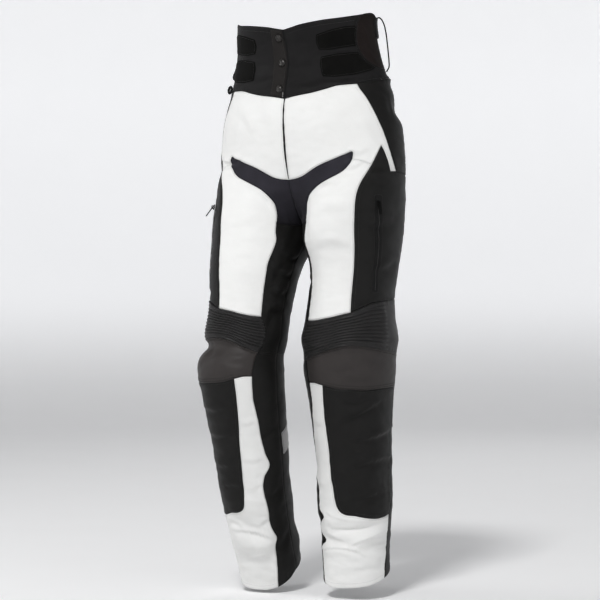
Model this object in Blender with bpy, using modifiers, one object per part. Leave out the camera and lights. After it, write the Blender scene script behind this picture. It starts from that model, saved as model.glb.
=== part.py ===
"""High-waist motorcycle trousers, filled out as if worn and held at the waist.

The origin is at the centre of the waist, +Z is up, the front faces -Y and the wearer's left is +X.
Lengths are metres. A place on the cloth is given by two pattern numbers: "round" runs from the
centre front or inseam (0) over the side (0.5) to the centre back or inseam (1) of one half, and
"height" is the height above the hem line.
"""

import math
from collections import namedtuple

import bmesh
import bpy
import numpy as np
from mathutils import Matrix, Vector
from mathutils.geometry import delaunay_2d_cdt

# Driving sizes
WAIST_HEIGHT = 1.100
FORK_HEIGHT = 0.765
FULL_HIP_HEIGHT = 0.960
CROTCH_FORWARD = -0.005
CLOTH = 0.0018
TRIM = 0.0014
ZIP_TAPE = 0.0010
PATCH = 0.0008
PADDED_TAB = 0.0036
SEAM_GAP = 0.0002
LAY_GAP = 0.0003
SHEET_WIDTH = 0.50
LEG_ROUNDNESS = 2.25
HIP_ROUNDNESS = 2.15
PIN_BAND = 0.10
JOIN_BAND = 0.09
STEP = 0.0015
SEAM_SPACING = 0.024
FINE_SEAM = 0.62
# The four seams that meet under the fork stop this far short of it, up and down.
FORK_ABOVE, FORK_BELOW, FORK_ROUND = 0.0014, 0.0050, 0.012

LEFT, RIGHT = 1, -1
SIDE_NAME = {LEFT: "left", RIGHT: "right"}

# One row is one level ring of a leg: its centre, its half sizes, how far its front dips (degrees),
# how far the cloth has turned round the leg, and how far the pattern has ridden up.
Ring = namedtuple("Ring", "height out forward half_width half_depth tilt turn lift")
LEFT_LEG = [
    Ring(0.022, 0.103, 0.020, 0.066, 0.070, 9, 0.010, 0),
    Ring(0.057, 0.103, 0.018, 0.067, 0.071, 8, 0.012, 0),
    Ring(0.100, 0.102, 0.017, 0.068, 0.074, 6, 0.018, 0),
    Ring(0.142, 0.101, 0.016, 0.070, 0.077, 5, 0.024, 0),
    Ring(0.184, 0.100, 0.016, 0.074, 0.082, 3, 0.028, 0),
    Ring(0.270, 0.100, 0.012, 0.075, 0.084, 2, 0.022, 0),
    Ring(0.354, 0.099, 0.004, 0.080, 0.088, 0, 0.030, 0),
    Ring(0.418, 0.098, 0.000, 0.086, 0.094, 0, 0.040, 0),
    Ring(0.460, 0.098, -0.003, 0.091, 0.100, 0, 0.045, 0),
    Ring(0.500, 0.098, -0.003, 0.092, 0.102, 0, 0.046, 0),
    Ring(0.524, 0.098, -0.004, 0.096, 0.105, 0, 0.047, 0),
    Ring(0.566, 0.098, 0.000, 0.090, 0.100, 0, 0.047, 0),
    Ring(0.608, 0.098, 0.004, 0.085, 0.096, 0, 0.040, 0),
    Ring(0.672, 0.100, 0.012, 0.087, 0.100, 0, 0.031, 0),
    Ring(0.735, 0.102, 0.012, 0.094, 0.107, 0, 0.028, 0),
    Ring(0.780, 0.101, 0.010, 0.099, 0.115, 0, 0.024, 0),
    Ring(0.850, 0.103, 0.008, 0.103, 0.120, 0, 0.006, 0),
    Ring(0.960, 0.105, 0.006, 0.105, 0.120, 0, 0.000, 0),
]
RIGHT_LEG = [
    Ring(0.012, 0.100, 0.012, 0.062, 0.067, 16, 0, -0.010),
    Ring(0.057, 0.100, -0.002, 0.064, 0.069, 16, 0, -0.011),
    Ring(0.100, 0.100, -0.018, 0.066, 0.072, 15, 0, -0.012),
    Ring(0.142, 0.100, -0.034, 0.067, 0.074, 14, 0, 0.000),
    Ring(0.184, 0.100, -0.048, 0.069, 0.077, 13, 0, 0.014),
    Ring(0.270, 0.100, -0.070, 0.072, 0.081, 10, 0, 0.015),
    Ring(0.354, 0.100, -0.090, 0.077, 0.086, 8, 0, 0.015),
    Ring(0.418, 0.100, -0.106, 0.081, 0.092, 4, 0, 0.016),
    Ring(0.460, 0.100, -0.113, 0.084, 0.095, 0, 0, 0.014),
    Ring(0.484, 0.100, -0.108, 0.081, 0.092, -2, 0, 0.012),
    Ring(0.506, 0.100, -0.096, 0.078, 0.088, -3, 0, 0.010),
    Ring(0.530, 0.100, -0.092, 0.082, 0.091, -4, 0, 0.008),
    Ring(0.566, 0.100, -0.084, 0.081, 0.091, -4, 0, 0.004),
    Ring(0.608, 0.100, -0.072, 0.082, 0.094, -4, 0, 0.000),
    Ring(0.672, 0.101, -0.053, 0.089, 0.103, -3, 0, 0),
    Ring(0.735, 0.102, -0.030, 0.096, 0.110, -2, 0, 0),
    Ring(0.780, 0.101, -0.018, 0.100, 0.116, 0, 0, 0),
    Ring(0.850, 0.103, -0.006, 0.103, 0.120, 0, 0, 0),
    Ring(0.960, 0.105, 0.004, 0.105, 0.120, 0, 0, 0),
]
# One row is one level ring round both hips or the waist.
HipRing = namedtuple("HipRing", "height centre half_width to_front to_back")
HIPS = [
    HipRing(0.750, 0.006, 0.2030, 0.104, 0.122),
    HipRing(0.842, 0.006, 0.2080, 0.110, 0.122),
    HipRing(0.926, 0.006, 0.2090, 0.114, 0.122),
    HipRing(0.969, 0.006, 0.2050, 0.117, 0.120),
    HipRing(1.010, 0.006, 0.1960, 0.116, 0.116),
    HipRing(1.032, 0.004, 0.1890, 0.111, 0.110),
    HipRing(1.075, 0.000, 0.1740, 0.106, 0.102),
    HipRing(1.117, -0.006, 0.1635, 0.101, 0.098),
    HipRing(1.180, -0.015, 0.1550, 0.105, 0.099),
    HipRing(1.230, -0.016, 0.1550, 0.106, 0.098),
]
# The belt's closing edge bows sideways to the wearer's left. It fades out round the waist.
ClosingPoint = namedtuple("ClosingPoint", "height aside")
CLOSING_LINE = [
    ClosingPoint(1.020, 0.0000),
    ClosingPoint(1.045, 0.0030),
    ClosingPoint(1.075, 0.0075),
    ClosingPoint(1.105, 0.0085),
    ClosingPoint(1.135, 0.0060),
    ClosingPoint(1.165, 0.0030),
    ClosingPoint(1.200, 0.0020),
]
CLOSING_FADE = 0.10

# A fold is a soft ridge (positive depth) or trough along a bent line of three pattern points. It
# fades towards its ends by a power of a sine, which starts a little way in.
FOLD_END, FOLD_FADE = 0.04, 0.6
Fold = namedtuple("Fold", "side start middle end width depth")
FOLDS = [
    Fold(LEFT, (0.19, 0.140), (0.31, 0.143), (0.43, 0.148), 0.011, -0.0050),
    Fold(LEFT, (0.16, 0.160), (0.28, 0.158), (0.40, 0.156), 0.010, 0.0035),
    Fold(LEFT, (0.10, 0.121), (0.20, 0.114), (0.33, 0.100), 0.012, -0.0055),
    Fold(LEFT, (0.26, 0.106), (0.36, 0.120), (0.48, 0.134), 0.011, 0.0045),
    Fold(LEFT, (0.10, 0.094), (0.24, 0.098), (0.36, 0.078), 0.012, 0.0045),
    Fold(LEFT, (0.36, 0.100), (0.43, 0.104), (0.50, 0.110), 0.010, -0.0040),
    Fold(LEFT, (0.60, 0.150), (0.75, 0.128), (0.90, 0.140), 0.013, -0.0055),
    Fold(LEFT, (0.58, 0.105), (0.75, 0.092), (0.92, 0.106), 0.013, 0.0045),
    Fold(LEFT, (0.25, 0.345), (0.36, 0.370), (0.46, 0.392), 0.016, -0.0035),
    Fold(LEFT, (0.29, 0.300), (0.38, 0.322), (0.50, 0.338), 0.016, 0.0035),
    Fold(LEFT, (0.27, 0.205), (0.36, 0.214), (0.47, 0.222), 0.014, -0.0035),
    Fold(LEFT, (0.62, 0.520), (0.78, 0.505), (0.90, 0.520), 0.016, -0.0075),
    Fold(LEFT, (0.62, 0.470), (0.78, 0.455), (0.90, 0.470), 0.016, -0.0060),
    Fold(RIGHT, (0.16, 0.135), (0.24, 0.150), (0.32, 0.164), 0.011, -0.0045),
    Fold(RIGHT, (0.10, 0.127), (0.20, 0.118), (0.32, 0.136), 0.011, 0.0045),
    Fold(RIGHT, (0.12, 0.098), (0.22, 0.092), (0.34, 0.102), 0.012, -0.0050),
    Fold(RIGHT, (0.60, 0.140), (0.75, 0.120), (0.90, 0.132), 0.013, -0.0055),
    Fold(RIGHT, (0.58, 0.100), (0.75, 0.086), (0.92, 0.098), 0.013, 0.0045),
    Fold(RIGHT, (0.30, 0.470), (0.42, 0.462), (0.54, 0.455), 0.022, 0.0040),
    Fold(RIGHT, (0.28, 0.498), (0.42, 0.500), (0.56, 0.504), 0.012, -0.0065),
    Fold(RIGHT, (0.62, 0.530), (0.78, 0.515), (0.90, 0.530), 0.016, -0.0085),
    Fold(RIGHT, (0.62, 0.478), (0.78, 0.462), (0.90, 0.478), 0.016, -0.0070),
    Fold(LEFT, (0.02, 0.835), (0.07, 0.800), (0.13, 0.745), 0.012, -0.0040),
    Fold(RIGHT, (0.02, 0.835), (0.06, 0.800), (0.10, 0.740), 0.012, -0.0040),
    Fold(RIGHT, (0.30, 0.905), (0.38, 0.890), (0.47, 0.880), 0.016, -0.0040),
    Fold(LEFT, (0.62, 0.840), (0.78, 0.815), (0.93, 0.820), 0.020, -0.0060),
    Fold(RIGHT, (0.62, 0.840), (0.78, 0.815), (0.93, 0.820), 0.020, -0.0060),
    Fold(LEFT, (0.48, 1.006), (0.66, 1.005), (0.86, 1.010), 0.020, -0.0115),
    Fold(LEFT, (0.48, 1.066), (0.66, 1.069), (0.84, 1.072), 0.0075, 0.0060),
]

# Seams of one half, as pattern points that a smooth curve passes through. Where the two halves
# differ, each has its own.
SEAMS = {
    "waist_front": [
        (0, 1.167), (0.035, 1.171), (0.08, 1.176), (0.18, 1.183), (0.275, 1.188), (0.401, 1.196),
    ],
    "waist_back": {
        LEFT: [(0.401, 1.196), (0.47, 1.202), (0.53, 1.204), (0.65, 1.200), (0.80, 1.194), (1, 1.190)],
        RIGHT: [(0.401, 1.196), (0.47, 1.197), (0.53, 1.196), (0.65, 1.194), (0.80, 1.192), (1, 1.190)],
    },
    "kidney_edge": [
        (0.401, 1.196), (0.373, 1.174), (0.355, 1.153), (0.348, 1.133), (0.358, 1.119), (0.376, 1.107),
        (0.411, 1.097), (0.456, 1.091), (0.524, 1.088), (0.65, 1.092), (0.80, 1.096), (1, 1.098),
    ],
    "belt_seam_front": [
        (0, 1.025), (0.04, 1.030), (0.095, 1.035), (0.153, 1.042), (0.21, 1.049), (0.296, 1.052),
    ],
    "belt_seam_side": [(0.296, 1.052), (0.374, 1.059), (0.452, 1.064), (0.52, 1.068), (0.60, 1.071)],
    "belt_seam_back": [(0.60, 1.071), (0.75, 1.076), (0.88, 1.078), (1, 1.078)],
    "centre_belt": [(0, 1.025), (0, 1.167)],
    "centre_fly": [(0, 0.858), (0, 1.025)],
    "centre_crotch": [(0, FORK_HEIGHT + FORK_ABOVE), (0, 0.858)],
    "back_belt": [(1, 1.078), (1, 1.098)],
    "back_kidney": [(1, 1.098), (1, 1.190)],
    "back_seat": [(1, FORK_HEIGHT + FORK_ABOVE), (1, 1.078)],
    "pocket_edge": [
        (0.480, 0.874), (0.454, 0.896), (0.421, 0.923), (0.390, 0.953), (0.365, 0.980), (0.344, 1.004),
        (0.324, 1.025), (0.307, 1.039), (0.296, 1.052),
    ],
    "pocket_end": [(0.449, 0.873), (0.480, 0.874)],
    "pocket_inner": [(0.376, 0.926), (0.397, 0.914), (0.423, 0.896), (0.449, 0.873)],
    "side_front_top": [(0.347, 0.885), (0.353, 0.895), (0.363, 0.911), (0.376, 0.926)],
    "side_front": [
        (0.286, 0.583), (0.291, 0.605), (0.298, 0.644), (0.304, 0.687), (0.311, 0.730), (0.316, 0.776),
        (0.316, 0.805), (0.318, 0.833), (0.327, 0.855), (0.347, 0.885),
    ],
    "hip_seam": [(0.257, 0.897), (0.300, 0.893), (0.347, 0.885)],
    "inset_top": [
        (0, 0.858), (0.03, 0.860), (0.061, 0.866), (0.118, 0.884), (0.19, 0.900), (0.223, 0.907),
        (0.250, 0.912), (0.257, 0.897),
    ],
    "inset_low": [
        (0.110, 0.768), (0.092, 0.786), (0.080, 0.803), (0.083, 0.815), (0.100, 0.828), (0.126, 0.840),
        (0.16, 0.850), (0.191, 0.858), (0.229, 0.869), (0.252, 0.884), (0.257, 0.897),
    ],
    "fork_seam": [(FORK_ROUND, 0.7645), (0.055, 0.766), (0.110, 0.768)],
    "thigh_inner": [
        (0.105, 0.566), (0.111, 0.620), (0.114, 0.680), (0.117, 0.730), (0.119, 0.750), (0.110, 0.768),
    ],
    "thigh_bottom": [(0.105, 0.566), (0.153, 0.567), (0.197, 0.571), (0.240, 0.577), (0.286, 0.583)],
    "rib_top": [
        (0.286, 0.583), (0.330, 0.592), (0.374, 0.601), (0.430, 0.606), (0.500, 0.609), (0.575, 0.612),
    ],
    "rib_inner": [(0.102, 0.484), (0.084, 0.505), (0.080, 0.535), (0.105, 0.566)],
    "rib_bottom": [
        (0.102, 0.484), (0.146, 0.491), (0.184, 0.498), (0.217, 0.506), (0.252, 0.512), (0.287, 0.514),
        (0.323, 0.513), (0.362, 0.510), (0.407, 0.506), (0.490, 0.498), (0.560, 0.494),
    ],
    "rib_outer": [(0.560, 0.494), (0.575, 0.612)],
    "knee_inner": [(0.115, 0.437), (0.110, 0.458), (0.102, 0.484)],
    "knee_bottom_inner": [(0.115, 0.437), (0.150, 0.437), (0.187, 0.433)],
    "knee_bottom": [
        (0.187, 0.433), (0.232, 0.427), (0.289, 0.424), (0.349, 0.423), (0.419, 0.425), (0.545, 0.429),
    ],
    "knee_outer": [(0.545, 0.429), (0.560, 0.494)],
    "shin_edge": [
        (0.187, 0.433), (0.187, 0.395), (0.193, 0.355), (0.203, 0.310), (0.207, 0.270), (0.212, 0.235),
        (0.216, 0.205), (0.221, 0.187), (0.233, 0.176), (0.260, 0.170), (0.300, 0.168), (0.340, 0.164),
        (0.385, 0.160), (0.440, 0.157), (0.500, 0.160),
    ],
    "shin_outer": [(0.500, 0.160), (0.525, 0.300), (0.545, 0.429)],
    "hem_side": [(0.485, 0.030), (0.495, 0.090), (0.500, 0.160)],
    "hem_front": [(0.129, 0.024), (0.200, 0.022), (0.300, 0.023), (0.400, 0.025), (0.485, 0.030)],
    "hem_inner": [(0, 0.045), (0.052, 0.033), (0.129, 0.024)],
    "hem_back": [(0.485, 0.030), (0.60, 0.040), (0.75, 0.052), (0.90, 0.052), (1, 0.045)],
    "hip_side_back": [(0.60, 0.868), (0.60, 1.071)],
    "hip_side_bottom": [(0.480, 0.874), (0.540, 0.870), (0.60, 0.868)],
    "thigh_side_back": [(0.575, 0.612), (0.588, 0.740), (0.60, 0.868)],
    "calf_seam_front": [(0, 0.485), (0.050, 0.483), (0.102, 0.484)],
    "calf_seam_back": [(0.560, 0.494), (0.75, 0.488), (1, 0.485)],
    "inseam_top": [(0, 0.485), (0, FORK_HEIGHT - FORK_BELOW)],
    "inseam_low": [(0, 0.045), (0, 0.485)],
    "inseam_top_back": [(1, 0.485), (1, FORK_HEIGHT - FORK_BELOW)],
    "inseam_low_back": [(1, 0.045), (1, 0.485)],
    # the inner edge of the white calf strip, where the cloth has stacked
    "strip_edge": {
        LEFT: [
            (0.129, 0.024), (0.112, 0.064), (0.104, 0.100), (0.135, 0.113), (0.092, 0.130), (0.108, 0.150),
            (0.150, 0.163), (0.118, 0.176), (0.116, 0.195), (0.117, 0.216), (0.103, 0.236), (0.071, 0.258),
            (0.086, 0.280), (0.099, 0.312), (0.107, 0.354), (0.116, 0.393), (0.115, 0.437),
        ],
        RIGHT: [
            (0.129, 0.024), (0.118, 0.064), (0.108, 0.095), (0.104, 0.112), (0.088, 0.125), (0.096, 0.133),
            (0.105, 0.142), (0.108, 0.152), (0.108, 0.172), (0.116, 0.195), (0.117, 0.216), (0.103, 0.236),
            (0.071, 0.257), (0.086, 0.280), (0.099, 0.312), (0.107, 0.354), (0.116, 0.393), (0.115, 0.437),
        ],
    },
}

FINE_SEAMS = (
    "strip_edge", "inset_low", "inset_top", "hem_front", "fork_seam", "inseam_top", "inseam_top_back",
)

# Each cut piece: the seams round it, anticlockwise on the left half seen from outside ("-" runs a
# seam backwards), the spacing of its mesh and its material.
Piece = namedtuple("Piece", "seams spacing material")
PIECES = {
    "belt": Piece(
        "belt_seam_front belt_seam_side belt_seam_back back_belt -kidney_edge -waist_front -centre_belt",
        0.028, "belt_black",
    ),
    "kidney_panel": Piece("kidney_edge back_kidney -waist_back", 0.03, "kidney_black"),
    "hip_front": Piece(
        "inset_top hip_seam side_front_top pocket_inner pocket_end pocket_edge -belt_seam_front "
        "-centre_fly",
        0.027, "white_cloth",
    ),
    "hip_side": Piece(
        "-pocket_edge hip_side_bottom hip_side_back -belt_seam_side", 0.028, "black_cloth"
    ),
    "crotch_inset": Piece("fork_seam inset_low -inset_top -centre_crotch", 0.017, "inset_black"),
    "thigh_front": Piece(
        "thigh_bottom side_front -hip_seam -inset_low -thigh_inner", 0.026, "white_cloth"
    ),
    "thigh_side": Piece(
        "rib_top thigh_side_back -hip_side_bottom -pocket_end -pocket_inner -side_front_top -side_front",
        0.028, "black_cloth",
    ),
    "knee_ribs": Piece(
        "rib_bottom rib_outer -rib_top -thigh_bottom -rib_inner", 0.020, "black_cloth"
    ),
    "knee_cap": Piece(
        "knee_bottom_inner knee_bottom knee_outer -rib_bottom -knee_inner", 0.025, "black_cloth"
    ),
    "shin": Piece("shin_edge shin_outer -knee_bottom", 0.024, "black_cloth"),
    "calf_strip_hem": Piece(
        "hem_front hem_side -shin_edge -knee_bottom_inner -strip_edge", 0.0185, "white_cloth"
    ),
    "inner_thigh": Piece(
        "calf_seam_front rib_inner thigh_inner -fork_seam -inseam_top", 0.026, "black_cloth"
    ),
    "inner_calf": Piece(
        "hem_inner strip_edge knee_inner -calf_seam_front -inseam_low", 0.026, "black_cloth"
    ),
    "back_upper": Piece(
        "calf_seam_back inseam_top_back back_seat -belt_seam_back -hip_side_back -thigh_side_back "
        "-rib_outer",
        0.034, "black_cloth",
    ),
    "back_calf": Piece(
        "hem_back inseam_low_back -calf_seam_back -knee_outer -shin_outer -hem_side", 0.029, "black_cloth"
    ),
}

# Ribs of the stretch panel over the knee: they run round it between two places, and a plain strip
# follows at the side.
RIB_COUNT = 12
RIB_HEIGHT = 0.0024
RIB_VALLEY = -0.0006
RIB_COLUMNS = 9
RIB_FROM, RIB_TO, RIB_PLAIN = 0.116, 0.438, 0.458

# Trim that lies on a piece: the piece, the side, the pattern outline, how thick, the spacing of its
# rim's points and its material.
Trim = namedtuple("Trim", "piece side outline thickness spacing material")
FASTENER_TABS = {
    "upper_tab": [
        (0.146, 1.153), (0.138, 1.138), (0.146, 1.123), (0.200, 1.122), (0.275, 1.127), (0.343, 1.131),
        (0.350, 1.152), (0.366, 1.172), (0.300, 1.170), (0.220, 1.163),
    ],
    "lower_tab": [
        (0.150, 1.108), (0.142, 1.092), (0.147, 1.068), (0.200, 1.066), (0.290, 1.070), (0.400, 1.081),
        (0.440, 1.088), (0.404, 1.094), (0.370, 1.104), (0.346, 1.118), (0.300, 1.117), (0.220, 1.114),
    ],
}
PLACKET = [
    (0.004, 1.029), (0.030, 1.032), (0.054, 1.034), (0.056, 1.075), (0.057, 1.120), (0.055, 1.170),
    (0.030, 1.168), (0.004, 1.165), (0.003, 1.100),
]
THIGH_ZIP = [
    (0.386, 0.822), (0.410, 0.822), (0.409, 0.740), (0.406, 0.680), (0.402, 0.625), (0.378, 0.625),
    (0.382, 0.680), (0.385, 0.740),
]
REFLECTIVE_PATCH = [
    (0.830, 0.296), (0.900, 0.281), (0.990, 0.269), (0.990, 0.315), (0.900, 0.329), (0.830, 0.341),
]
BACK_TAB = [
    (0.535, 1.154), (0.575, 1.154), (0.615, 1.154), (0.615, 1.196), (0.575, 1.198), (0.540, 1.199),
]

SNAP_ROUND = 0.020
SNAP_HEIGHTS = (1.151, 1.100, 1.046)
SNAP_RADIUS = 0.0074
SNAP_RISE = 0.0026
SNAP_SIDES = 14
# The cap's turned profile, from its rim to its middle: shares of its radius and of its rise.
SNAP_PROFILE = [(1.0, 0.45), (0.86, 0.85), (0.62, 0.80), (0.42, 1.0), (0.0, 1.0)]

# Zip slider and its pull. The pull's bar runs through the tunnel under the slider's bridge.
ZIP_TOP = (0.398, 0.806)
SLIDER_WIDTH, SLIDER_LENGTH, SLIDER_THICK = 0.0078, 0.0120, 0.0030
SLIDER_EDGE = 0.0008
BRIDGE_WIDTH, BRIDGE_LENGTH, BRIDGE_RISE, BRIDGE_SUNK = 0.0022, 0.0076, 0.0046, 0.0006
TUNNEL = 0.0028
TUNNEL_ABOVE = 0.0002
BAR_HEIGHT = SLIDER_THICK + TUNNEL_ABOVE + TUNNEL / 2
PULL_LENGTH, PULL_WIDTH, PULL_THICK = 0.0235, 0.0062, 0.0022
PULL_BAR = 0.0015
PULL_CORNER = 0.0006
PULL_WINDOW = (0.0036, 0.0042)
# The grip's slot: its width, how far it starts below the window and ends above the tip.
PULL_SLOT = (0.0029, 0.0060, 0.0040)
PULL_REST_ANGLE = {LEFT: 14.0, RIGHT: 30.0}

# The hanging loop at the left side of the waist: a round cord fixed at both ends
LOOP_CORD_RADIUS = 0.0016
LOOP_ROUTE = [
    (0.1415, 0.0294, 0.0955), (0.1475, 0.0315, 0.1000), (0.1535, 0.0325, 0.0960), (0.1592, 0.0335, 0.0850),
    (0.1632, 0.0340, 0.0690), (0.1660, 0.0345, 0.0490), (0.1682, 0.0350, 0.0280), (0.1700, 0.0352, 0.0090),
    (0.1701, 0.0353, -0.0040), (0.1649, 0.0335, -0.0146),
]
HIP_LOOP_ROUND, HIP_LOOP_HEIGHT = 0.385, 1.0575
HIP_LOOP_OUT, HIP_LOOP_TALL, HIP_LOOP_WIDE, HIP_LOOP_THICK = 0.0110, 0.0186, 0.0100, 0.0050
HIP_LOOP_SEAT = -0.0003
HIP_LOOP_SIDES = 16

MATERIALS = {
    "white_cloth": ((0.80, 0.80, 0.79), 0.75, 0.0),
    "black_cloth": ((0.022, 0.021, 0.021), 0.80, 0.0),
    "belt_black": ((0.018, 0.018, 0.019), 0.72, 0.0),
    "kidney_black": ((0.016, 0.012, 0.012), 0.70, 0.0),
    "inset_black": ((0.028, 0.028, 0.034), 0.70, 0.0),
    "tab_black": ((0.010, 0.010, 0.010), 0.90, 0.0),
    "reflective_grey": ((0.19, 0.185, 0.185), 0.45, 0.0),
    "dark_metal": ((0.10, 0.10, 0.10), 0.35, 1.0),
    "cord_black": ((0.015, 0.015, 0.015), 0.80, 0.0),
}


def start_clean():
    for obj in list(bpy.data.objects):
        bpy.data.objects.remove(obj, do_unlink=True)
    group = bpy.data.collections.new("motorcycle_trousers")
    cutters = bpy.data.collections.new("cutters")
    bpy.context.scene.collection.children.link(group)
    bpy.context.scene.collection.children.link(cutters)
    cutters.hide_render = True
    return group, cutters


def make_materials():
    made = {}
    for name, (colour, roughness, metallic) in MATERIALS.items():
        material = bpy.data.materials.new(name)
        material.use_nodes = True
        shader = material.node_tree.nodes["Principled BSDF"]
        shader.inputs["Base Color"].default_value = (*colour, 1.0)
        shader.inputs["Roughness"].default_value = roughness
        shader.inputs["Metallic"].default_value = metallic
        made[name] = material
    return made


def smooth_table(rows):
    """A function that reads a table's columns at any height, on a smooth curve through its rows."""
    table = np.array(sorted(rows), float)
    heights, values = table[:, 0], table[:, 1:]
    slopes = np.gradient(values, heights, axis=0)

    def at(height):
        height = np.clip(height, heights[0], heights[-1])
        i = np.clip(np.searchsorted(heights, height, side="right") - 1, 0, len(heights) - 2)
        step = (heights[i + 1] - heights[i])[:, None]
        f = (height - heights[i])[:, None] / step
        mixed = (2 * f**3 - 3 * f**2 + 1) * values[i] + (f**3 - 2 * f**2 + f) * step * slopes[i]
        mixed += (3 * f**2 - 2 * f**3) * values[i + 1] + (f**3 - f**2) * step * slopes[i + 1]
        return mixed.T

    return at


LEG_AT = {LEFT: smooth_table(LEFT_LEG), RIGHT: smooth_table(RIGHT_LEG)}
HIPS_AT = smooth_table(HIPS)
CLOSING_AT = smooth_table(CLOSING_LINE)


def rounded(value, roundness):
    return np.copysign(np.abs(value) ** (2.0 / roundness), value)


def ease(value):
    value = np.clip(value, 0.0, 1.0)
    return value * value * (3 - 2 * value)


def plain_points(side, pattern):
    """The smooth outer face of the cloth at an array of (round, height) places, before its folds."""
    around, height = pattern[:, 0], pattern[:, 1]
    high = height + LEG_AT[side](height)[6]
    out, forward, half_width, half_depth, tilt, turn, _ = LEG_AT[side](high)
    end = np.cos(np.pi * around) ** 2
    pinned = ease((high - FORK_HEIGHT + PIN_BAND) / PIN_BAND)
    angle = 2 * np.pi * (around + turn * (1 - pinned * end))
    x = -half_width * rounded(np.cos(angle), LEG_ROUNDNESS)
    y = -half_depth * rounded(np.sin(angle), LEG_ROUNDNESS)
    tilt = np.radians(tilt)
    joined = end**2 * ease((high - FORK_HEIGHT + JOIN_BAND) / JOIN_BAND)
    leg = np.stack([
        out + x - (out - half_width) * joined,
        forward + y * np.cos(tilt) + (CROTCH_FORWARD - forward) * joined,
        high + y * np.sin(tilt),
    ], axis=1)
    centre, hip_width, to_front, to_back = HIPS_AT(high)
    half_turn = np.pi * around
    depth = np.where(np.cos(half_turn) > 0, to_front, to_back)
    hip = np.stack([
        hip_width * rounded(np.sin(half_turn), HIP_ROUNDNESS),
        centre - depth * rounded(np.cos(half_turn), HIP_ROUNDNESS),
        high,
    ], axis=1)
    share = np.clip((high - FORK_HEIGHT) / (FULL_HIP_HEIGHT - FORK_HEIGHT), 0.0, 1.0)
    steep = np.sqrt(1 - (1 - share) ** 2)
    weight = (ease(share) * (1 - end**2) + steep * end**2)[:, None]
    point = leg * (1 - weight) + hip * weight
    point[:, 0] *= side
    point[:, 0] += CLOSING_AT(high)[0] * np.exp(-((around / CLOSING_FADE) ** 2))
    point[:, 2] -= WAIST_HEIGHT
    return point


def normals_at(side, pattern):
    """Unit directions out of the cloth. On the centre line above the fork they have no sideways part."""
    sideways, upward = np.array([STEP, 0.0]), np.array([0.0, STEP])
    right, left = pattern + sideways, pattern - sideways
    above_fork = pattern[:, 1] >= FORK_HEIGHT - 1e-6
    right[above_fork, 0] = np.minimum(right[above_fork, 0], 1.0)
    left[above_fork, 0] = np.maximum(left[above_fork, 0], 0.0)
    across = plain_points(side, right) - plain_points(side, left)
    up = plain_points(side, pattern + upward) - plain_points(side, pattern - upward)
    normal = np.cross(across, up) * side
    ends = above_fork & ((pattern[:, 0] < 1e-9) | (pattern[:, 0] > 1 - 1e-9))
    normal[ends, 0] = 0.0
    return normal / np.linalg.norm(normal, axis=1, keepdims=True)


def fold_depth(side, pattern):
    depth = np.zeros(len(pattern))
    flat = pattern * (SHEET_WIDTH, 1.0)
    for fold in FOLDS:
        if fold.side != side:
            continue
        ends = np.array([fold.start, fold.middle, fold.end]) * (SHEET_WIDTH, 1.0)
        along = np.linspace(0, 1, 25)[:, None]
        bend = 2 * ends[1] - (ends[0] + ends[2]) / 2
        path = ends[0] * (1 - along) ** 2 + 2 * bend * along * (1 - along) + ends[2] * along**2
        away = np.linalg.norm(flat[:, None] - path[None], axis=2)
        nearest = away.argmin(axis=1)
        fade = np.sin(np.pi * np.clip(along[nearest, 0], FOLD_END, 1 - FOLD_END)) ** FOLD_FADE
        depth += fold.depth * fade * np.exp(-((away.min(axis=1) / fold.width) ** 2))
    return depth


def cloth_points(side, pattern, raised=0.0):
    """The outer face with its folds, moved out by raised."""
    pattern = np.asarray(pattern, float)
    offset = fold_depth(side, pattern) + raised
    return plain_points(side, pattern) + normals_at(side, pattern) * offset[:, None]


def smooth_curve(points, closed=False, per_span=12):
    """Pattern points on a smooth curve through the given ones."""
    points = np.array(points, float)
    if closed:
        padded = np.vstack([points[-1], points, points[:2]])
    else:
        padded = np.vstack([2 * points[0] - points[1], points, 2 * points[-1] - points[-2]])
    found = []
    f = np.linspace(0, 1, per_span, endpoint=False)[:, None]
    for a, b, c, d in zip(padded, padded[1:], padded[2:], padded[3:]):
        bend, twist = 2 * a - 5 * b + 4 * c - d, 3 * b - a - 3 * c + d
        found.append(b + 0.5 * ((c - a) * f + bend * f**2 + twist * f**3))
    found.append(points[:1] if closed else points[-1:])
    return np.vstack(found)


def seam_points(side, name, spacing=SEAM_SPACING):
    """A seam's pattern points at even steps along the cloth, both its ends included."""
    seam = SEAMS[name]
    curve = smooth_curve(seam[side] if isinstance(seam, dict) else seam)
    if name in FINE_SEAMS:
        spacing *= FINE_SEAM
    place = plain_points(side, curve)
    travelled = np.concatenate([[0.0], np.cumsum(np.linalg.norm(np.diff(place, axis=0), axis=1))])
    steps = max(1, round(travelled[-1] / spacing))
    at = np.linspace(0, travelled[-1], steps + 1)
    found = np.stack([np.interp(at, travelled, curve[:, k]) for k in (0, 1)], axis=1)
    found[0], found[-1] = curve[0], curve[-1]
    return found


def outline_of(side, seams):
    found = []
    for name in seams.split():
        points = seam_points(side, name.lstrip("-"))
        found.append(points[::-1] if name.startswith("-") else points)
    meets = [np.allclose(a[-1], b[0]) for a, b in zip(found, found[1:] + found[:1])]
    return np.vstack([points[:-1] if met else points for points, met in zip(found, meets)])


def inside(outline, points):
    x, y = points[:, 0][:, None], points[:, 1][:, None]
    ax, ay = outline[:, 0], outline[:, 1]
    bx, by = np.roll(ax, -1), np.roll(ay, -1)
    rise = np.where(by == ay, 1.0, by - ay)
    crosses = ((ay > y) != (by > y)) & (x < (bx - ax) * (y - ay) / rise + ax)
    return crosses.sum(axis=1) % 2 == 1


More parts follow.
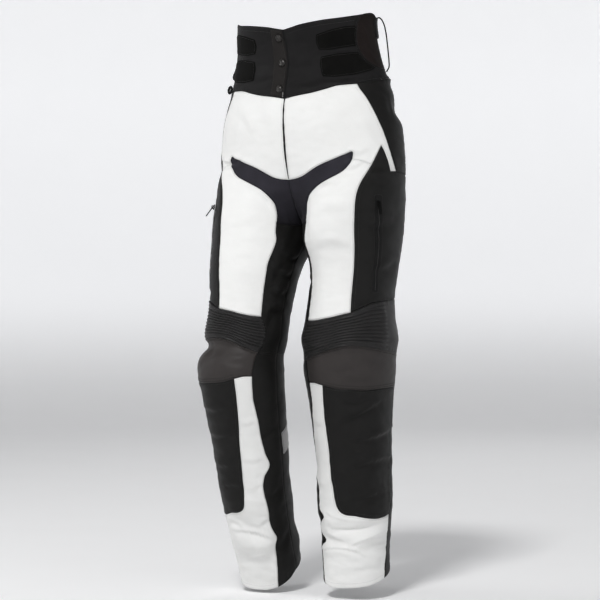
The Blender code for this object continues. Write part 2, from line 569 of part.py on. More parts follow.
def distance_to(outline, points, closed=True):
    a = outline if closed else outline[:-1]
    b = np.roll(outline, -1, axis=0) if closed else outline[1:]
    ab = b - a
    length = np.maximum((ab**2).sum(axis=1), 1e-18)
    f = np.clip(((points[:, None] - a) * ab).sum(axis=2) / length, 0, 1)
    return np.linalg.norm(points[:, None] - (a + f[..., None] * ab), axis=2).min(axis=1)


def fill_points(outline, spacing, keep_off=()):
    """A staggered grid of points inside an outline, in flat metres."""
    low, high = outline.min(axis=0), outline.max(axis=0)
    row_step = spacing * 0.87
    rows = np.arange(low[1] + row_step / 2, high[1], row_step)
    grid = np.array([
        (x, y)
        for k, y in enumerate(rows)
        for x in np.arange(low[0] + spacing * (0.25 + 0.5 * (k % 2)), high[0], spacing)
    ])
    grid = grid[inside(outline, grid)]
    grid = grid[distance_to(outline, grid) > spacing * 0.5]
    for loop in keep_off:
        grid = grid[distance_to(loop, grid) > spacing * 0.3]
    return grid


def triangulate(outline, extra, lines):
    """Triangles inside an outline: (points, faces), all in flat metres, through given lines."""
    points = [*map(Vector, outline), *map(Vector, extra)]
    count = len(outline)
    edges = []
    for line in lines:
        first = len(points)
        points += [Vector(p) for p in line]
        edges += [(first + k, first + k + 1) for k in range(len(line) - 1)]
    found = delaunay_2d_cdt(points, edges, [list(range(count))], 1, 1e-7)
    vertices, faces, origins = found[0], found[2], found[3]
    flat = np.array([points[origin[0]] if origin else v for v, origin in zip(vertices, origins)], float)
    index = {one: k for k, origin in enumerate(origins) for one in origin}
    rim = [index[k] for k in range(count)]
    return flat, [list(face) for face in faces], rim


def rib_lines():
    """Lines round the rib panel as flat points, crest and valley in turn."""
    top = smooth_curve(SEAMS["thigh_bottom"][:-1] + SEAMS["rib_top"])
    low = smooth_curve(SEAMS["rib_bottom"])
    around = np.linspace(RIB_FROM, RIB_TO, RIB_COLUMNS)
    top_height = np.interp(around, top[:, 0], top[:, 1])
    low_height = np.interp(around, low[:, 0], low[:, 1])
    shares = np.arange(1, 2 * RIB_COUNT) / (2 * RIB_COUNT)
    return [
        np.stack([around * SHEET_WIDTH, low_height + (top_height - low_height) * share], axis=1)
        for share in shares
    ]


def inset(points, normals, rim, side, distance):
    """Moves the points of a rim inwards along the cloth."""
    moved = points.copy()
    loop = points[rim]
    forward = np.roll(loop, -1, axis=0) - loop
    forward /= np.linalg.norm(forward, axis=1, keepdims=True)
    backward = np.roll(forward, 1, axis=0)
    inward_a = np.cross(normals[rim], backward) * side
    inward_b = np.cross(normals[rim], forward) * side
    middle = inward_a + inward_b
    middle /= np.linalg.norm(middle, axis=1, keepdims=True)
    reach = np.maximum((middle * inward_b).sum(axis=1), 0.45)
    moved[rim] += middle * (distance / reach)[:, None]
    return moved


def add_mesh(group, name, vertices, faces, material):
    mesh = bpy.data.meshes.new(name)
    mesh.from_pydata([tuple(v) for v in vertices], [], faces)
    mesh.validate()
    shell = bmesh.new()
    shell.from_mesh(mesh)
    bmesh.ops.recalc_face_normals(shell, faces=shell.faces)
    shell.to_mesh(mesh)
    shell.free()
    mesh.materials.append(material)
    mesh.shade_smooth()
    mesh.set_sharp_from_angle(angle=math.radians(50))
    obj = bpy.data.objects.new(name, mesh)
    group.objects.link(obj)
    return obj


def wall(group, name, side, outer, inner, material):
    """A closed cloth wall from an outer and an inner sheet, each (points, faces, rim), rims in step."""
    outer_points, outer_faces, outer_rim = outer
    inner_points, inner_faces, inner_rim = inner
    shift = len(outer_points)
    faces = [face if side > 0 else face[::-1] for face in outer_faces]
    faces += [[k + shift for k in (face[::-1] if side > 0 else face)] for face in inner_faces]
    count = len(outer_rim)
    for k in range(count):
        a, b = outer_rim[k], outer_rim[(k + 1) % count]
        c, d = inner_rim[(k + 1) % count] + shift, inner_rim[k] + shift
        faces += [[a, d, c], [a, c, b]] if side > 0 else [[a, c, d], [a, b, c]]
    return add_mesh(group, name, np.vstack([outer_points, inner_points]), faces, material)


def sheet_at(side, flat, rim, raised, inset_by):
    pattern = flat / (SHEET_WIDTH, 1.0)
    points = cloth_points(side, pattern, raised)
    return inset(points, normals_at(side, pattern), rim, side, inset_by)


def trims_on(piece, side):
    return {name: trim for name, trim in TRIMS.items() if trim.piece == piece and trim.side == side}


def trim_loop(side, trim):
    """A trim's outline as flat points at even steps, its corners kept."""
    corners = np.array(trim.outline) * (SHEET_WIDTH, 1.0)
    found = []
    for a, b in zip(corners, np.roll(corners, -1, axis=0)):
        steps = max(1, round(np.linalg.norm(b - a) / trim.spacing))
        found += [a + (b - a) * k / steps for k in range(steps)]
    return np.array(found)


def make_piece(group, materials, name, piece, side):
    """One cut piece of cloth with the trim that lies on it, which shares its points."""
    outline = outline_of(side, piece.seams) * (SHEET_WIDTH, 1.0)
    trims = trims_on(name, side)
    loops = {key: trim_loop(side, trim) for key, trim in trims.items()}
    lines = [np.vstack([loop, loop[:1]]) for loop in loops.values()]
    ribs = rib_lines() if name == "knee_ribs" else []
    fill = fill_points(outline, piece.spacing, lines)
    beside = fill[fill[:, 0] > RIB_PLAIN * SHEET_WIDTH] if ribs else fill
    flat, faces, rim = triangulate(outline, beside, lines + ribs)
    raised = np.zeros(len(flat))
    for k, line in enumerate(ribs):
        near = distance_to(line, flat, closed=False) < 1e-6
        raised[near] = RIB_VALLEY + RIB_HEIGHT * (k % 2)
    outer = sheet_at(side, flat, rim, raised, SEAM_GAP), faces, rim
    if ribs:
        flat_in, faces_in, rim_in = triangulate(outline, fill, [])
        inner = sheet_at(side, flat_in, rim_in, -CLOTH, SEAM_GAP), faces_in, rim_in
    else:
        inner = sheet_at(side, flat, rim, -CLOTH, SEAM_GAP), faces, rim
    wall(group, f"{name}_{SIDE_NAME[side]}", side, outer, inner, materials[piece.material])
    for key, trim in trims.items():
        make_trim(group, materials, key, trim, loops[key], flat, faces, side)


def make_trim(group, materials, name, trim, loop, flat, faces, side):
    """The triangles of a piece that lie inside a trim's outline, moved out and given a thickness."""
    middles = np.array([flat[face].mean(axis=0) for face in faces])
    chosen = [face for face, is_in in zip(faces, inside(loop, middles)) if is_in]
    used = sorted({k for face in chosen for k in face})
    index = {k: i for i, k in enumerate(used)}
    chosen = [[index[k] for k in face] for face in chosen]
    flat = flat[used]
    after = {}
    directed = {(face[k], face[(k + 1) % 3]) for face in chosen for k in range(3)}
    for a, b in directed:
        if (b, a) not in directed:
            after[a] = b
    rim = [min(after)]
    while after[rim[-1]] != rim[0]:
        rim.append(after[rim[-1]])
    under = sheet_at(side, flat, rim, LAY_GAP, 0.0), chosen, rim
    over = sheet_at(side, flat, rim, LAY_GAP + trim.thickness, 0.0), chosen, rim
    wall(group, name, side, over, under, materials[trim.material])


def make_trims_table():
    """Every flat trim: fastener tabs on both sides of the belt, placket, zip tapes, patches and tabs."""
    table = {}
    for side in (LEFT, RIGHT):
        where = SIDE_NAME[side]
        for tab, outline in FASTENER_TABS.items():
            table[f"{tab}_{where}"] = Trim("belt", side, outline, TRIM, 0.020, "tab_black")
        table[f"thigh_zip_{where}"] = Trim("thigh_side", side, THIGH_ZIP, ZIP_TAPE, 0.026, "tab_black")
        table[f"calf_patch_{where}"] = Trim(
            "back_calf", side, REFLECTIVE_PATCH, PATCH, 0.024, "reflective_grey"
        )
    table["placket"] = Trim("belt", RIGHT, PLACKET, TRIM, 0.022, "belt_black")
    table["back_tab"] = Trim("kidney_panel", LEFT, BACK_TAB, PADDED_TAB, 0.022, "belt_black")
    return table


TRIMS = make_trims_table()


def frame_at(side, around, height, raised):
    """A matrix at a place on the cloth: X along the cloth to the garment's left, Y up it, Z out of it."""
    pattern = np.array([[around, height]])
    out = Vector(normals_at(side, pattern)[0])
    place = Vector(cloth_points(side, pattern, raised)[0])
    up = Vector((0, 0, 1))
    up = (up - out * up.dot(out)).normalized()
    across = up.cross(out)
    turn = Matrix((across, up, out)).transposed().to_4x4()
    return Matrix.Translation(place) @ turn


def add_object(group, name, mesh, material, matrix):
    obj = bpy.data.objects.new(name, mesh)
    mesh.materials.clear()
    mesh.materials.append(material)
    group.objects.link(obj)
    obj.matrix_world = matrix
    return obj


def block(name, size, centre):
    """A box mesh of a given size round a given centre."""
    shell = bmesh.new()
    bmesh.ops.create_cube(shell, size=1.0)
    place = Matrix.Translation(centre) @ Matrix.Diagonal((*size, 1))
    bmesh.ops.transform(shell, matrix=place, verts=shell.verts)
    mesh = bpy.data.meshes.new(name)
    shell.to_mesh(mesh)
    shell.free()
    return mesh


def make_snaps(group, materials):
    """Three domed snap caps on the placket, each a turned profile."""
    lift = LAY_GAP + TRIM + LAY_GAP
    profile = [(share * SNAP_RADIUS, 0.0, rise * SNAP_RISE) for share, rise in SNAP_PROFILE[::-1]]
    profile += [(SNAP_RADIUS, 0.0, 0.0), (0.0, 0.0, 0.0)]
    for k, height in enumerate(SNAP_HEIGHTS):
        mesh = bpy.data.meshes.new(f"snap_{k + 1}")
        mesh.from_pydata(profile, [(i, i + 1) for i in range(len(profile) - 1)], [])
        place = frame_at(RIGHT, SNAP_ROUND, height, lift)
        obj = add_object(group, f"snap_{k + 1}", mesh, materials["dark_metal"], place)
        screw = obj.modifiers.new("turn", "SCREW")
        screw.steps = screw.render_steps = SNAP_SIDES
        screw.use_merge_vertices = True
        screw.merge_threshold = 0.00001
        screw.use_smooth_shade = True


def make_slider(group, cutters, materials, side):
    """A zip slider: a flat body with a bridge that the pull's bar lies under."""
    lift = LAY_GAP + ZIP_TAPE
    place = frame_at(side, *ZIP_TOP, lift)
    body = block("slider", (SLIDER_WIDTH, SLIDER_LENGTH, SLIDER_THICK), (0, 0, SLIDER_THICK / 2))
    slider = add_object(group, f"zip_slider_{SIDE_NAME[side]}", body, materials["dark_metal"], place)
    bevel = slider.modifiers.new("edges", "BEVEL")
    bevel.width = SLIDER_EDGE
    bevel.segments = 2
    bridge_centre = (0, 0, SLIDER_THICK + BRIDGE_RISE / 2 - BRIDGE_SUNK)
    bridge = block("bridge", (BRIDGE_WIDTH, BRIDGE_LENGTH, BRIDGE_RISE + BRIDGE_SUNK), bridge_centre)
    tunnel = block("tunnel", (SLIDER_WIDTH * 2, TUNNEL, TUNNEL), (0, 0, BAR_HEIGHT))
    for mesh, operation in ((bridge, "UNION"), (tunnel, "DIFFERENCE")):
        cutter = add_object(cutters, f"{mesh.name}_{SIDE_NAME[side]}", mesh, materials["dark_metal"], place)
        cutter.hide_render = True
        cutter.display_type = "WIRE"
        cut = slider.modifiers.new(operation.lower(), "BOOLEAN")
        cut.operation = operation
        cut.object = cutter
    return place


def rounded_outline(width, top, bottom, corner, steps=5):
    """A flat rectangle's outline with rounded corners, centred across."""
    found = []
    reach = width / 2 - corner
    high, low = top - corner, bottom + corner
    for quarter, (x, y) in enumerate(((reach, high), (-reach, high), (-reach, low), (reach, low))):
        for k in range(steps):
            angle = math.radians(90 * (quarter + k / (steps - 1)))
            found.append((x + corner * math.cos(angle), y + corner * math.sin(angle), 0.0))
    return found


def make_pull(group, materials, side, slider_place):
    """A flat metal pull that hangs from the slider's bridge, its origin on the axis it swings about."""
    curve = bpy.data.curves.new("pull", "CURVE")
    curve.dimensions = "2D"
    curve.fill_mode = "BOTH"
    curve.extrude = PULL_THICK / 2
    window_width, window_tall = PULL_WINDOW
    slot_width, slot_below, slot_above = PULL_SLOT
    outer = rounded_outline(PULL_WIDTH, PULL_BAR / 2, -PULL_LENGTH, PULL_CORNER)
    bottom = -PULL_BAR / 2 - window_tall
    window = rounded_outline(window_width, -PULL_BAR / 2, bottom, PULL_CORNER * 0.8, 3)[::-1]
    slot = rounded_outline(slot_width, bottom - slot_below, slot_above - PULL_LENGTH, slot_width * 0.4, 4)
    for outline in (outer, window, slot[::-1]):
        spline = curve.splines.new("POLY")
        spline.points.add(len(outline) - 1)
        for point, place in zip(spline.points, outline):
            point.co = (*place, 1.0)
        spline.use_cyclic_u = True
    source = bpy.data.objects.new("pull_curve", curve)
    group.objects.link(source)
    mesh = bpy.data.meshes.new_from_object(source.evaluated_get(bpy.context.evaluated_depsgraph_get()))
    bpy.data.objects.remove(source, do_unlink=True)
    shell = bmesh.new()
    shell.from_mesh(mesh)
    bmesh.ops.remove_doubles(shell, verts=shell.verts, dist=1e-6)
    bmesh.ops.recalc_face_normals(shell, faces=shell.faces)
    shell.to_mesh(mesh)
    shell.free()
    mesh.name = f"zip_pull_{SIDE_NAME[side]}"
    swing = Matrix.Rotation(math.radians(-PULL_REST_ANGLE[side]), 4, "X")
    place = slider_place @ Matrix.Translation((0, 0, BAR_HEIGHT)) @ swing
    return add_object(group, mesh.name, mesh, materials["dark_metal"], place)


def make_hip_loop(group, materials):
    """A folded webbing loop sewn into the belt seam at the right side: a rounded ring seen from the side."""
    curve = bpy.data.curves.new("hip_loop", "CURVE")
    curve.dimensions = "2D"
    curve.fill_mode = "BOTH"
    curve.extrude = HIP_LOOP_WIDE / 2
    half_out, half_tall = HIP_LOOP_OUT / 2, HIP_LOOP_TALL / 2
    for shrink, backwards in ((0.0, False), (HIP_LOOP_THICK, True)):
        outline = [
            (math.cos(a) * (half_tall - shrink), math.sin(a) * (half_out - shrink), 0.0)
            for a in np.linspace(0, 2 * math.pi, HIP_LOOP_SIDES, endpoint=False)
        ]
        spline = curve.splines.new("POLY")
        spline.points.add(len(outline) - 1)
        for point, place in zip(spline.points, outline[::-1] if backwards else outline):
            point.co = (*place, 1.0)
        spline.use_cyclic_u = True
    place = frame_at(RIGHT, HIP_LOOP_ROUND, HIP_LOOP_HEIGHT, HIP_LOOP_OUT / 2 + HIP_LOOP_SEAT)
    turn = Matrix.Rotation(math.pi / 2, 4, "Y") @ Matrix.Rotation(math.pi / 2, 4, "Z")
    obj = bpy.data.objects.new("hip_loop_right", curve)
    curve.materials.append(materials["tab_black"])
    group.objects.link(obj)
    obj.matrix_world = place @ turn
    return obj


def make_loop_cord(group, materials):
    """The round cord loop at the left of the waist, on one smooth curve."""
    route = smooth_curve(LOOP_ROUTE, per_span=3)
    curve = bpy.data.curves.new("waist_loop_cord", "CURVE")
    curve.dimensions = "3D"
    curve.bevel_depth = LOOP_CORD_RADIUS
    curve.bevel_resolution = 2
    curve.use_fill_caps = True
    spline = curve.splines.new("POLY")
    spline.points.add(len(route) - 1)
    for point, place in zip(spline.points, route):
        point.co = (*place, 1.0)
    curve.materials.append(materials["cord_black"])
    obj = bpy.data.objects.new("waist_loop_cord", curve)
    group.objects.link(obj)
    return obj


def build():
    group, cutters = start_clean()
    materials = make_materials()
    for side in (LEFT, RIGHT):
        for name, piece in PIECES.items():
            make_piece(group, materials, name, piece, side)
        slider_place = make_slider(group, cutters, materials, side)
        make_pull(group, materials, side, slider_place)
    make_snaps(group, materials)
    make_hip_loop(group, materials)
    make_loop_cord(group, materials)


build()
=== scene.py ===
"""High-waist motorcycle trousers, dressed: cloth panels, trim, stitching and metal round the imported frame.

Everything is in metres in the frame's own space: +Z is up, the front faces -Y, the wearer's left is +X.
A place on the cloth is given by two pattern numbers: "round" runs from the centre front or inseam (0)
over the side (0.5) to the centre back or inseam (1) of one half, "height" is the height above the hem.
"""

import math
from collections import namedtuple

import bpy
import numpy as np
from mathutils import Matrix, Vector, noise
from mathutils.geometry import delaunay_2d_cdt
from mathutils.kdtree import KDTree


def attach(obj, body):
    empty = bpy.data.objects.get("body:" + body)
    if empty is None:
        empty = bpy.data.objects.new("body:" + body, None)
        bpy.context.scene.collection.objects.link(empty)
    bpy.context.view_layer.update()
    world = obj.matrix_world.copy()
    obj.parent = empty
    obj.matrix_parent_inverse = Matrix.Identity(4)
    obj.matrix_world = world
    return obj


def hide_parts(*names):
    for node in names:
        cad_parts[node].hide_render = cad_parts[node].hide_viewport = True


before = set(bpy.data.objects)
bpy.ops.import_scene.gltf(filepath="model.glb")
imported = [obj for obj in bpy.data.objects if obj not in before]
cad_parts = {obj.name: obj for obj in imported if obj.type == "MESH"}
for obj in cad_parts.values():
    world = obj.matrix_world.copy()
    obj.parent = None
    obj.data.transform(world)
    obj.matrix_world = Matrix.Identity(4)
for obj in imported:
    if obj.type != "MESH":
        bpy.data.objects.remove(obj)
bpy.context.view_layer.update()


# Camera
# It stands at the photo's angle, level with the top of the knee ribs, and a little to one side of the
# waist's axis. Its lens gives 2.12 mm of garment to a pixel of the square picture.
WAIST_HEIGHT = 1.100
CAMERA_AZIMUTH = math.radians(30)
CAMERA_DISTANCE = 4.0
CAMERA_HEIGHT = 0.6084
CAMERA_ASIDE = -0.0212
METRES_A_PIXEL = 0.00212
PICTURE_PIXELS = 600
SENSOR = 36.0

towards_camera = Vector((math.sin(CAMERA_AZIMUTH), -math.cos(CAMERA_AZIMUTH), 0))
to_the_right = Vector((math.cos(CAMERA_AZIMUTH), math.sin(CAMERA_AZIMUTH), 0))
camera = bpy.data.objects.new("camera", bpy.data.cameras.new("camera"))
camera.data.sensor_width = SENSOR
camera.data.lens = SENSOR * CAMERA_DISTANCE / (PICTURE_PIXELS * METRES_A_PIXEL)
camera.location = towards_camera * CAMERA_DISTANCE + to_the_right * CAMERA_ASIDE
camera.location.z = CAMERA_HEIGHT - WAIST_HEIGHT
camera.rotation_euler = (math.pi / 2, 0, CAMERA_AZIMUTH)
bpy.context.scene.collection.objects.link(camera)
bpy.context.scene.camera = camera


# Waist loop
# A round braided cord, sewn in at the top and the bottom of the belt at the wearer's left, where it
# stands a little away from the cloth. Its plies are small ridges that wind round it.
CORD_RADIUS = 0.0016
CORD_PLY_DEPTH = 0.00022
CORD_PLY_PITCH = 0.0042
CORD_SIDES = 16
CORD_STEP = 0.0007
CORD_BLACK = (0.004, 0.0038, 0.0038)
LOOP_ROUTE = [
    (0.1415, 0.0294, 0.0955), (0.1475, 0.0315, 0.1000), (0.1535, 0.0325, 0.0960), (0.1592, 0.0335, 0.0850),
    (0.1632, 0.0340, 0.0690), (0.1660, 0.0345, 0.0490), (0.1682, 0.0350, 0.0280), (0.1700, 0.0352, 0.0090),
    (0.1701, 0.0353, -0.0040), (0.1649, 0.0335, -0.0146),
]


def smooth_curve(points, closed=False, per_span=12):
    """Points on a smooth curve through the given ones."""
    points = np.array(points, float)
    if closed:
        padded = np.vstack([points[-1], points, points[:2]])
    else:
        padded = np.vstack([2 * points[0] - points[1], points, 2 * points[-1] - points[-2]])
    found = []
    f = np.linspace(0, 1, per_span, endpoint=False)[:, None]
    for a, b, c, d in zip(padded, padded[1:], padded[2:], padded[3:]):
        bend, twist = 2 * a - 5 * b + 4 * c - d, 3 * b - a - 3 * c + d
        found.append(b + 0.5 * ((c - a) * f + bend * f**2 + twist * f**3))
    found.append(points[:1] if closed else points[-1:])
    return np.vstack(found)


def even_steps(line, step):
    """Points at even steps along a line of points, both its ends included."""
    travelled = np.concatenate([[0.0], np.cumsum(np.linalg.norm(np.diff(line, axis=0), axis=1))])
    count = max(1, round(travelled[-1] / step))
    at = np.linspace(0, travelled[-1], count + 1)
    return np.stack([np.interp(at, travelled, column) for column in line.T], axis=1)


def mesh_piece(name, vertices, faces, material, smooth_angle=50):
    """A shown mesh object at the origin, smooth but for its hard edges."""
    mesh = bpy.data.meshes.new(name)
    mesh.from_pydata(np.asarray(vertices).tolist(), [], faces)
    mesh.materials.append(material)
    mesh.shade_smooth()
    mesh.set_sharp_from_angle(angle=math.radians(smooth_angle))
    piece = bpy.data.objects.new(name, mesh)
    bpy.context.scene.collection.objects.link(piece)
    return piece


def tube_along(line, radius_at, sides):
    """Vertices and faces of a round closed tube along a line; radius_at(angle, travelled) is its radius."""
    travelled = np.concatenate([[0.0], np.cumsum(np.linalg.norm(np.diff(line, axis=0), axis=1))])
    tangents = np.gradient(line, axis=0)
    tangents /= np.linalg.norm(tangents, axis=1, keepdims=True)
    first = np.cross(tangents[0], (0.3, 0.9, 0.2))
    across = [first / np.linalg.norm(first)]
    for tangent in tangents[1:]:
        carried = across[-1] - tangent * across[-1].dot(tangent)
        across.append(carried / np.linalg.norm(carried))
    across = np.array(across)
    aside = np.cross(tangents, across)
    angles = np.linspace(0, 2 * math.pi, sides, endpoint=False)
    radius = radius_at(angles[None, :], travelled[:, None])
    ring = across[:, None] * np.cos(angles)[None, :, None] + aside[:, None] * np.sin(angles)[None, :, None]
    vertices = (line[:, None] + ring * radius[..., None]).reshape(-1, 3)
    faces = []
    for k in range(len(line) - 1):
        for i in range(sides):
            j = (i + 1) % sides
            faces.append([k * sides + i, k * sides + j, (k + 1) * sides + j, (k + 1) * sides + i])
    faces.append(list(range(sides))[::-1])
    faces.append([(len(line) - 1) * sides + i for i in range(sides)])
    return vertices, faces


def noise_in(tree, scale, detail):
    """A noise over the object's own space."""
    place = tree.nodes.new("ShaderNodeTexCoord")
    made = tree.nodes.new("ShaderNodeTexNoise")
    made.inputs["Scale"].default_value = scale
    made.inputs["Detail"].default_value = detail
    tree.links.new(place.outputs["Object"], made.inputs["Vector"])
    return made.outputs["Fac"]


def tone_ramp(tree, tone, low, high, dark, light):
    """Colours the shader from dark at a low tone to light at a high one."""
    ramp = tree.nodes.new("ShaderNodeValToRGB")
    for element, position, colour in zip(ramp.color_ramp.elements, (low, high), (dark, light)):
        element.position = position
        element.color = (*colour, 1)
    tree.links.new(tone, ramp.inputs["Fac"])
    tree.links.new(ramp.outputs["Color"], tree.nodes["Principled BSDF"].inputs["Base Color"])


def bump_from(tree, height, strength, distance):
    """Gives the shader the fine relief of a height."""
    bump = tree.nodes.new("ShaderNodeBump")
    bump.inputs["Strength"].default_value = strength
    bump.inputs["Distance"].default_value = distance
    tree.links.new(height, bump.inputs["Height"])
    tree.links.new(bump.outputs["Normal"], tree.nodes["Principled BSDF"].inputs["Normal"])


def new_material(name, **sockets):
    """A material whose shader has constant values for some sockets; _ stands for a space in their names."""
    material = bpy.data.materials.new(name)
    material.use_nodes = True
    for socket, value in sockets.items():
        material.node_tree.nodes["Principled BSDF"].inputs[socket.replace("_", " ")].default_value = value
    return material


def plain_material(
    name, colour, roughness, metallic=0.0, sheen=0.0, grain=900.0, grain_depth=0.00012, uneven_dye=0.14,
):
    """A material with a fine uneven grain in its surface and a slight change of tone."""
    specular = 0.5 if metallic else 0.25
    material = new_material(name, Metallic=metallic, Sheen_Weight=sheen, Specular_IOR_Level=specular)
    tree = material.node_tree
    tone = noise_in(tree, grain * 0.12, 4.0)
    dark = [c * (1 - uneven_dye) for c in colour]
    tone_ramp(tree, tone, 0.30, 0.72, dark, [min(1.0, c * (1 + uneven_dye)) for c in colour])
    rough = tree.nodes.new("ShaderNodeMapRange")
    rough.inputs["To Min"].default_value = roughness - 0.06
    rough.inputs["To Max"].default_value = roughness + 0.06
    tree.links.new(tone, rough.inputs["Value"])
    tree.links.new(rough.outputs["Result"], tree.nodes["Principled BSDF"].inputs["Roughness"])
    bump_from(tree, noise_in(tree, grain, 3.0), 0.6, grain_depth)
    return material


def belongs(piece, node=None):
    """Hangs a piece on the garment and hides the CAD node that it stands in for, if any."""
    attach(piece, "root")
    if node:
        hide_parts(node)


def ply_radius(angle, travelled):
    """The cord's radius over its braided plies."""
    wound = np.cos(3 * angle - 2 * math.pi * travelled / CORD_PLY_PITCH)
    crossed = np.cos(3 * angle + 2 * math.pi * travelled / CORD_PLY_PITCH)
    return CORD_RADIUS - CORD_PLY_DEPTH * (1 - np.maximum(wound, crossed)) / 2


loop_line = even_steps(smooth_curve(LOOP_ROUTE), CORD_STEP)
cord_black = plain_material("cord_black", CORD_BLACK, 0.75)
waist_cord = mesh_piece("waist_cord", *tube_along(loop_line, ply_radius, CORD_SIDES), cord_black)
belongs(waist_cord, "waist_loop_cord")


# Belt
# The two halves of the high belt, of a smooth stretch cloth, double stitched along the top. Like every
# panel after them they are cut from the worn form: level rings of both legs, of the hips and of the
# waist, and the soft folds that the cloth falls in.
LEFT, RIGHT = 1, -1
SIDE_NAME = {LEFT: "left", RIGHT: "right"}
FORK_HEIGHT = 0.765
FULL_HIP_HEIGHT = 0.960
CROTCH_FORWARD = -0.005
SHEET_WIDTH = 0.50
LEG_ROUNDNESS = 2.25
HIP_ROUNDNESS = 2.15
PIN_BAND = 0.10
JOIN_BAND = 0.09
STEP = 0.0015
FORK_SOFT, FORK_SOFT_FROM = 0.045, 0.10
FORK_STEPS = (-0.030, -0.020, -0.010, 0.0, 0.010, 0.020, 0.030)
# The tables of the form and its folds are in millimetres and degrees; places round the cloth and
# turns are in thousandths of the way round.
THOUSANDTHS = 1000
Ring = namedtuple("Ring", "height out forward half_width half_depth tilt turn lift")
LEFT_LEG = [
    Ring(22, 103, 20, 66, 70, 9, 10, 0),
    Ring(57, 103, 18, 67, 71, 8, 12, 0),
    Ring(100, 102, 17, 68, 74, 6, 18, 0),
    Ring(142, 101, 16, 70, 77, 5, 24, 0),
    Ring(184, 100, 16, 74, 82, 3, 28, 0),
    Ring(270, 100, 12, 75, 84, 2, 22, 0),
    Ring(354, 99, 4, 80, 88, 0, 30, 0),
    Ring(418, 98, 0, 86, 94, 0, 40, 0),
    Ring(460, 98, -3, 91, 100, 0, 45, 0),
    Ring(500, 98, -3, 92, 102, 0, 46, 0),
    Ring(524, 98, -4, 96, 105, 0, 47, 0),
    Ring(566, 98, 0, 90, 100, 0, 47, 0),
    Ring(608, 98, 4, 85, 96, 0, 40, 0),
    Ring(672, 100, 12, 87, 100, 0, 31, 0),
    Ring(735, 102, 12, 94, 107, 0, 28, 0),
    Ring(780, 101, 10, 99, 115, 0, 24, 0),
    Ring(850, 103, 8, 103, 120, 0, 6, 0),
    Ring(960, 105, 6, 105, 120, 0, 0, 0),
]
RIGHT_LEG = [
    Ring(12, 100, 12, 62, 67, 16, 0, -10),
    Ring(57, 100, -2, 64, 69, 16, 0, -11),
    Ring(100, 100, -18, 66, 72, 15, 0, -12),
    Ring(142, 100, -34, 67, 74, 14, 0, 0),
    Ring(184, 100, -48, 69, 77, 13, 0, 14),
    Ring(270, 100, -70, 72, 81, 10, 0, 15),
    Ring(354, 100, -90, 77, 86, 8, 0, 15),
    Ring(418, 100, -106, 81, 92, 4, 0, 16),
    Ring(460, 100, -113, 84, 95, 0, 0, 14),
    Ring(484, 100, -108, 81, 92, -2, 0, 12),
    Ring(506, 100, -96, 78, 88, -3, 0, 10),
    Ring(530, 100, -92, 82, 91, -4, 0, 8),
    Ring(566, 100, -84, 81, 91, -4, 0, 4),
    Ring(608, 100, -72, 82, 94, -4, 0, 0),
    Ring(672, 101, -53, 89, 103, -3, 0, 0),
    Ring(735, 102, -30, 96, 110, -2, 0, 0),
    Ring(780, 101, -18, 100, 116, 0, 0, 0),
    Ring(850, 103, -6, 103, 120, 0, 0, 0),
    Ring(960, 105, 4, 105, 120, 0, 0, 0),
]
HipRing = namedtuple("HipRing", "height centre half_width to_front to_back")
HIPS = [
    HipRing(750, 6, 203, 104, 122),
    HipRing(842, 6, 208, 110, 122),
    HipRing(926, 6, 209, 114, 122),
    HipRing(969, 6, 205, 117, 120),
    HipRing(1010, 6, 196, 116, 116),
    HipRing(1032, 4, 189, 111, 110),
    HipRing(1075, 0, 174, 106, 102),
    HipRing(1117, -6, 163.5, 101, 98),
    HipRing(1180, -15, 155, 105, 99),
    HipRing(1230, -16, 155, 106, 98),
]
# The belt's closing edge bows sideways to the wearer's left. It fades out round the waist.
ClosingPoint = namedtuple("ClosingPoint", "height aside")
CLOSING_LINE = [
    ClosingPoint(1020, 0), ClosingPoint(1045, 3), ClosingPoint(1075, 7.5),
    ClosingPoint(1105, 8.5), ClosingPoint(1135, 6), ClosingPoint(1165, 3),
    ClosingPoint(1200, 2),
]
CLOSING_FADE = 0.10
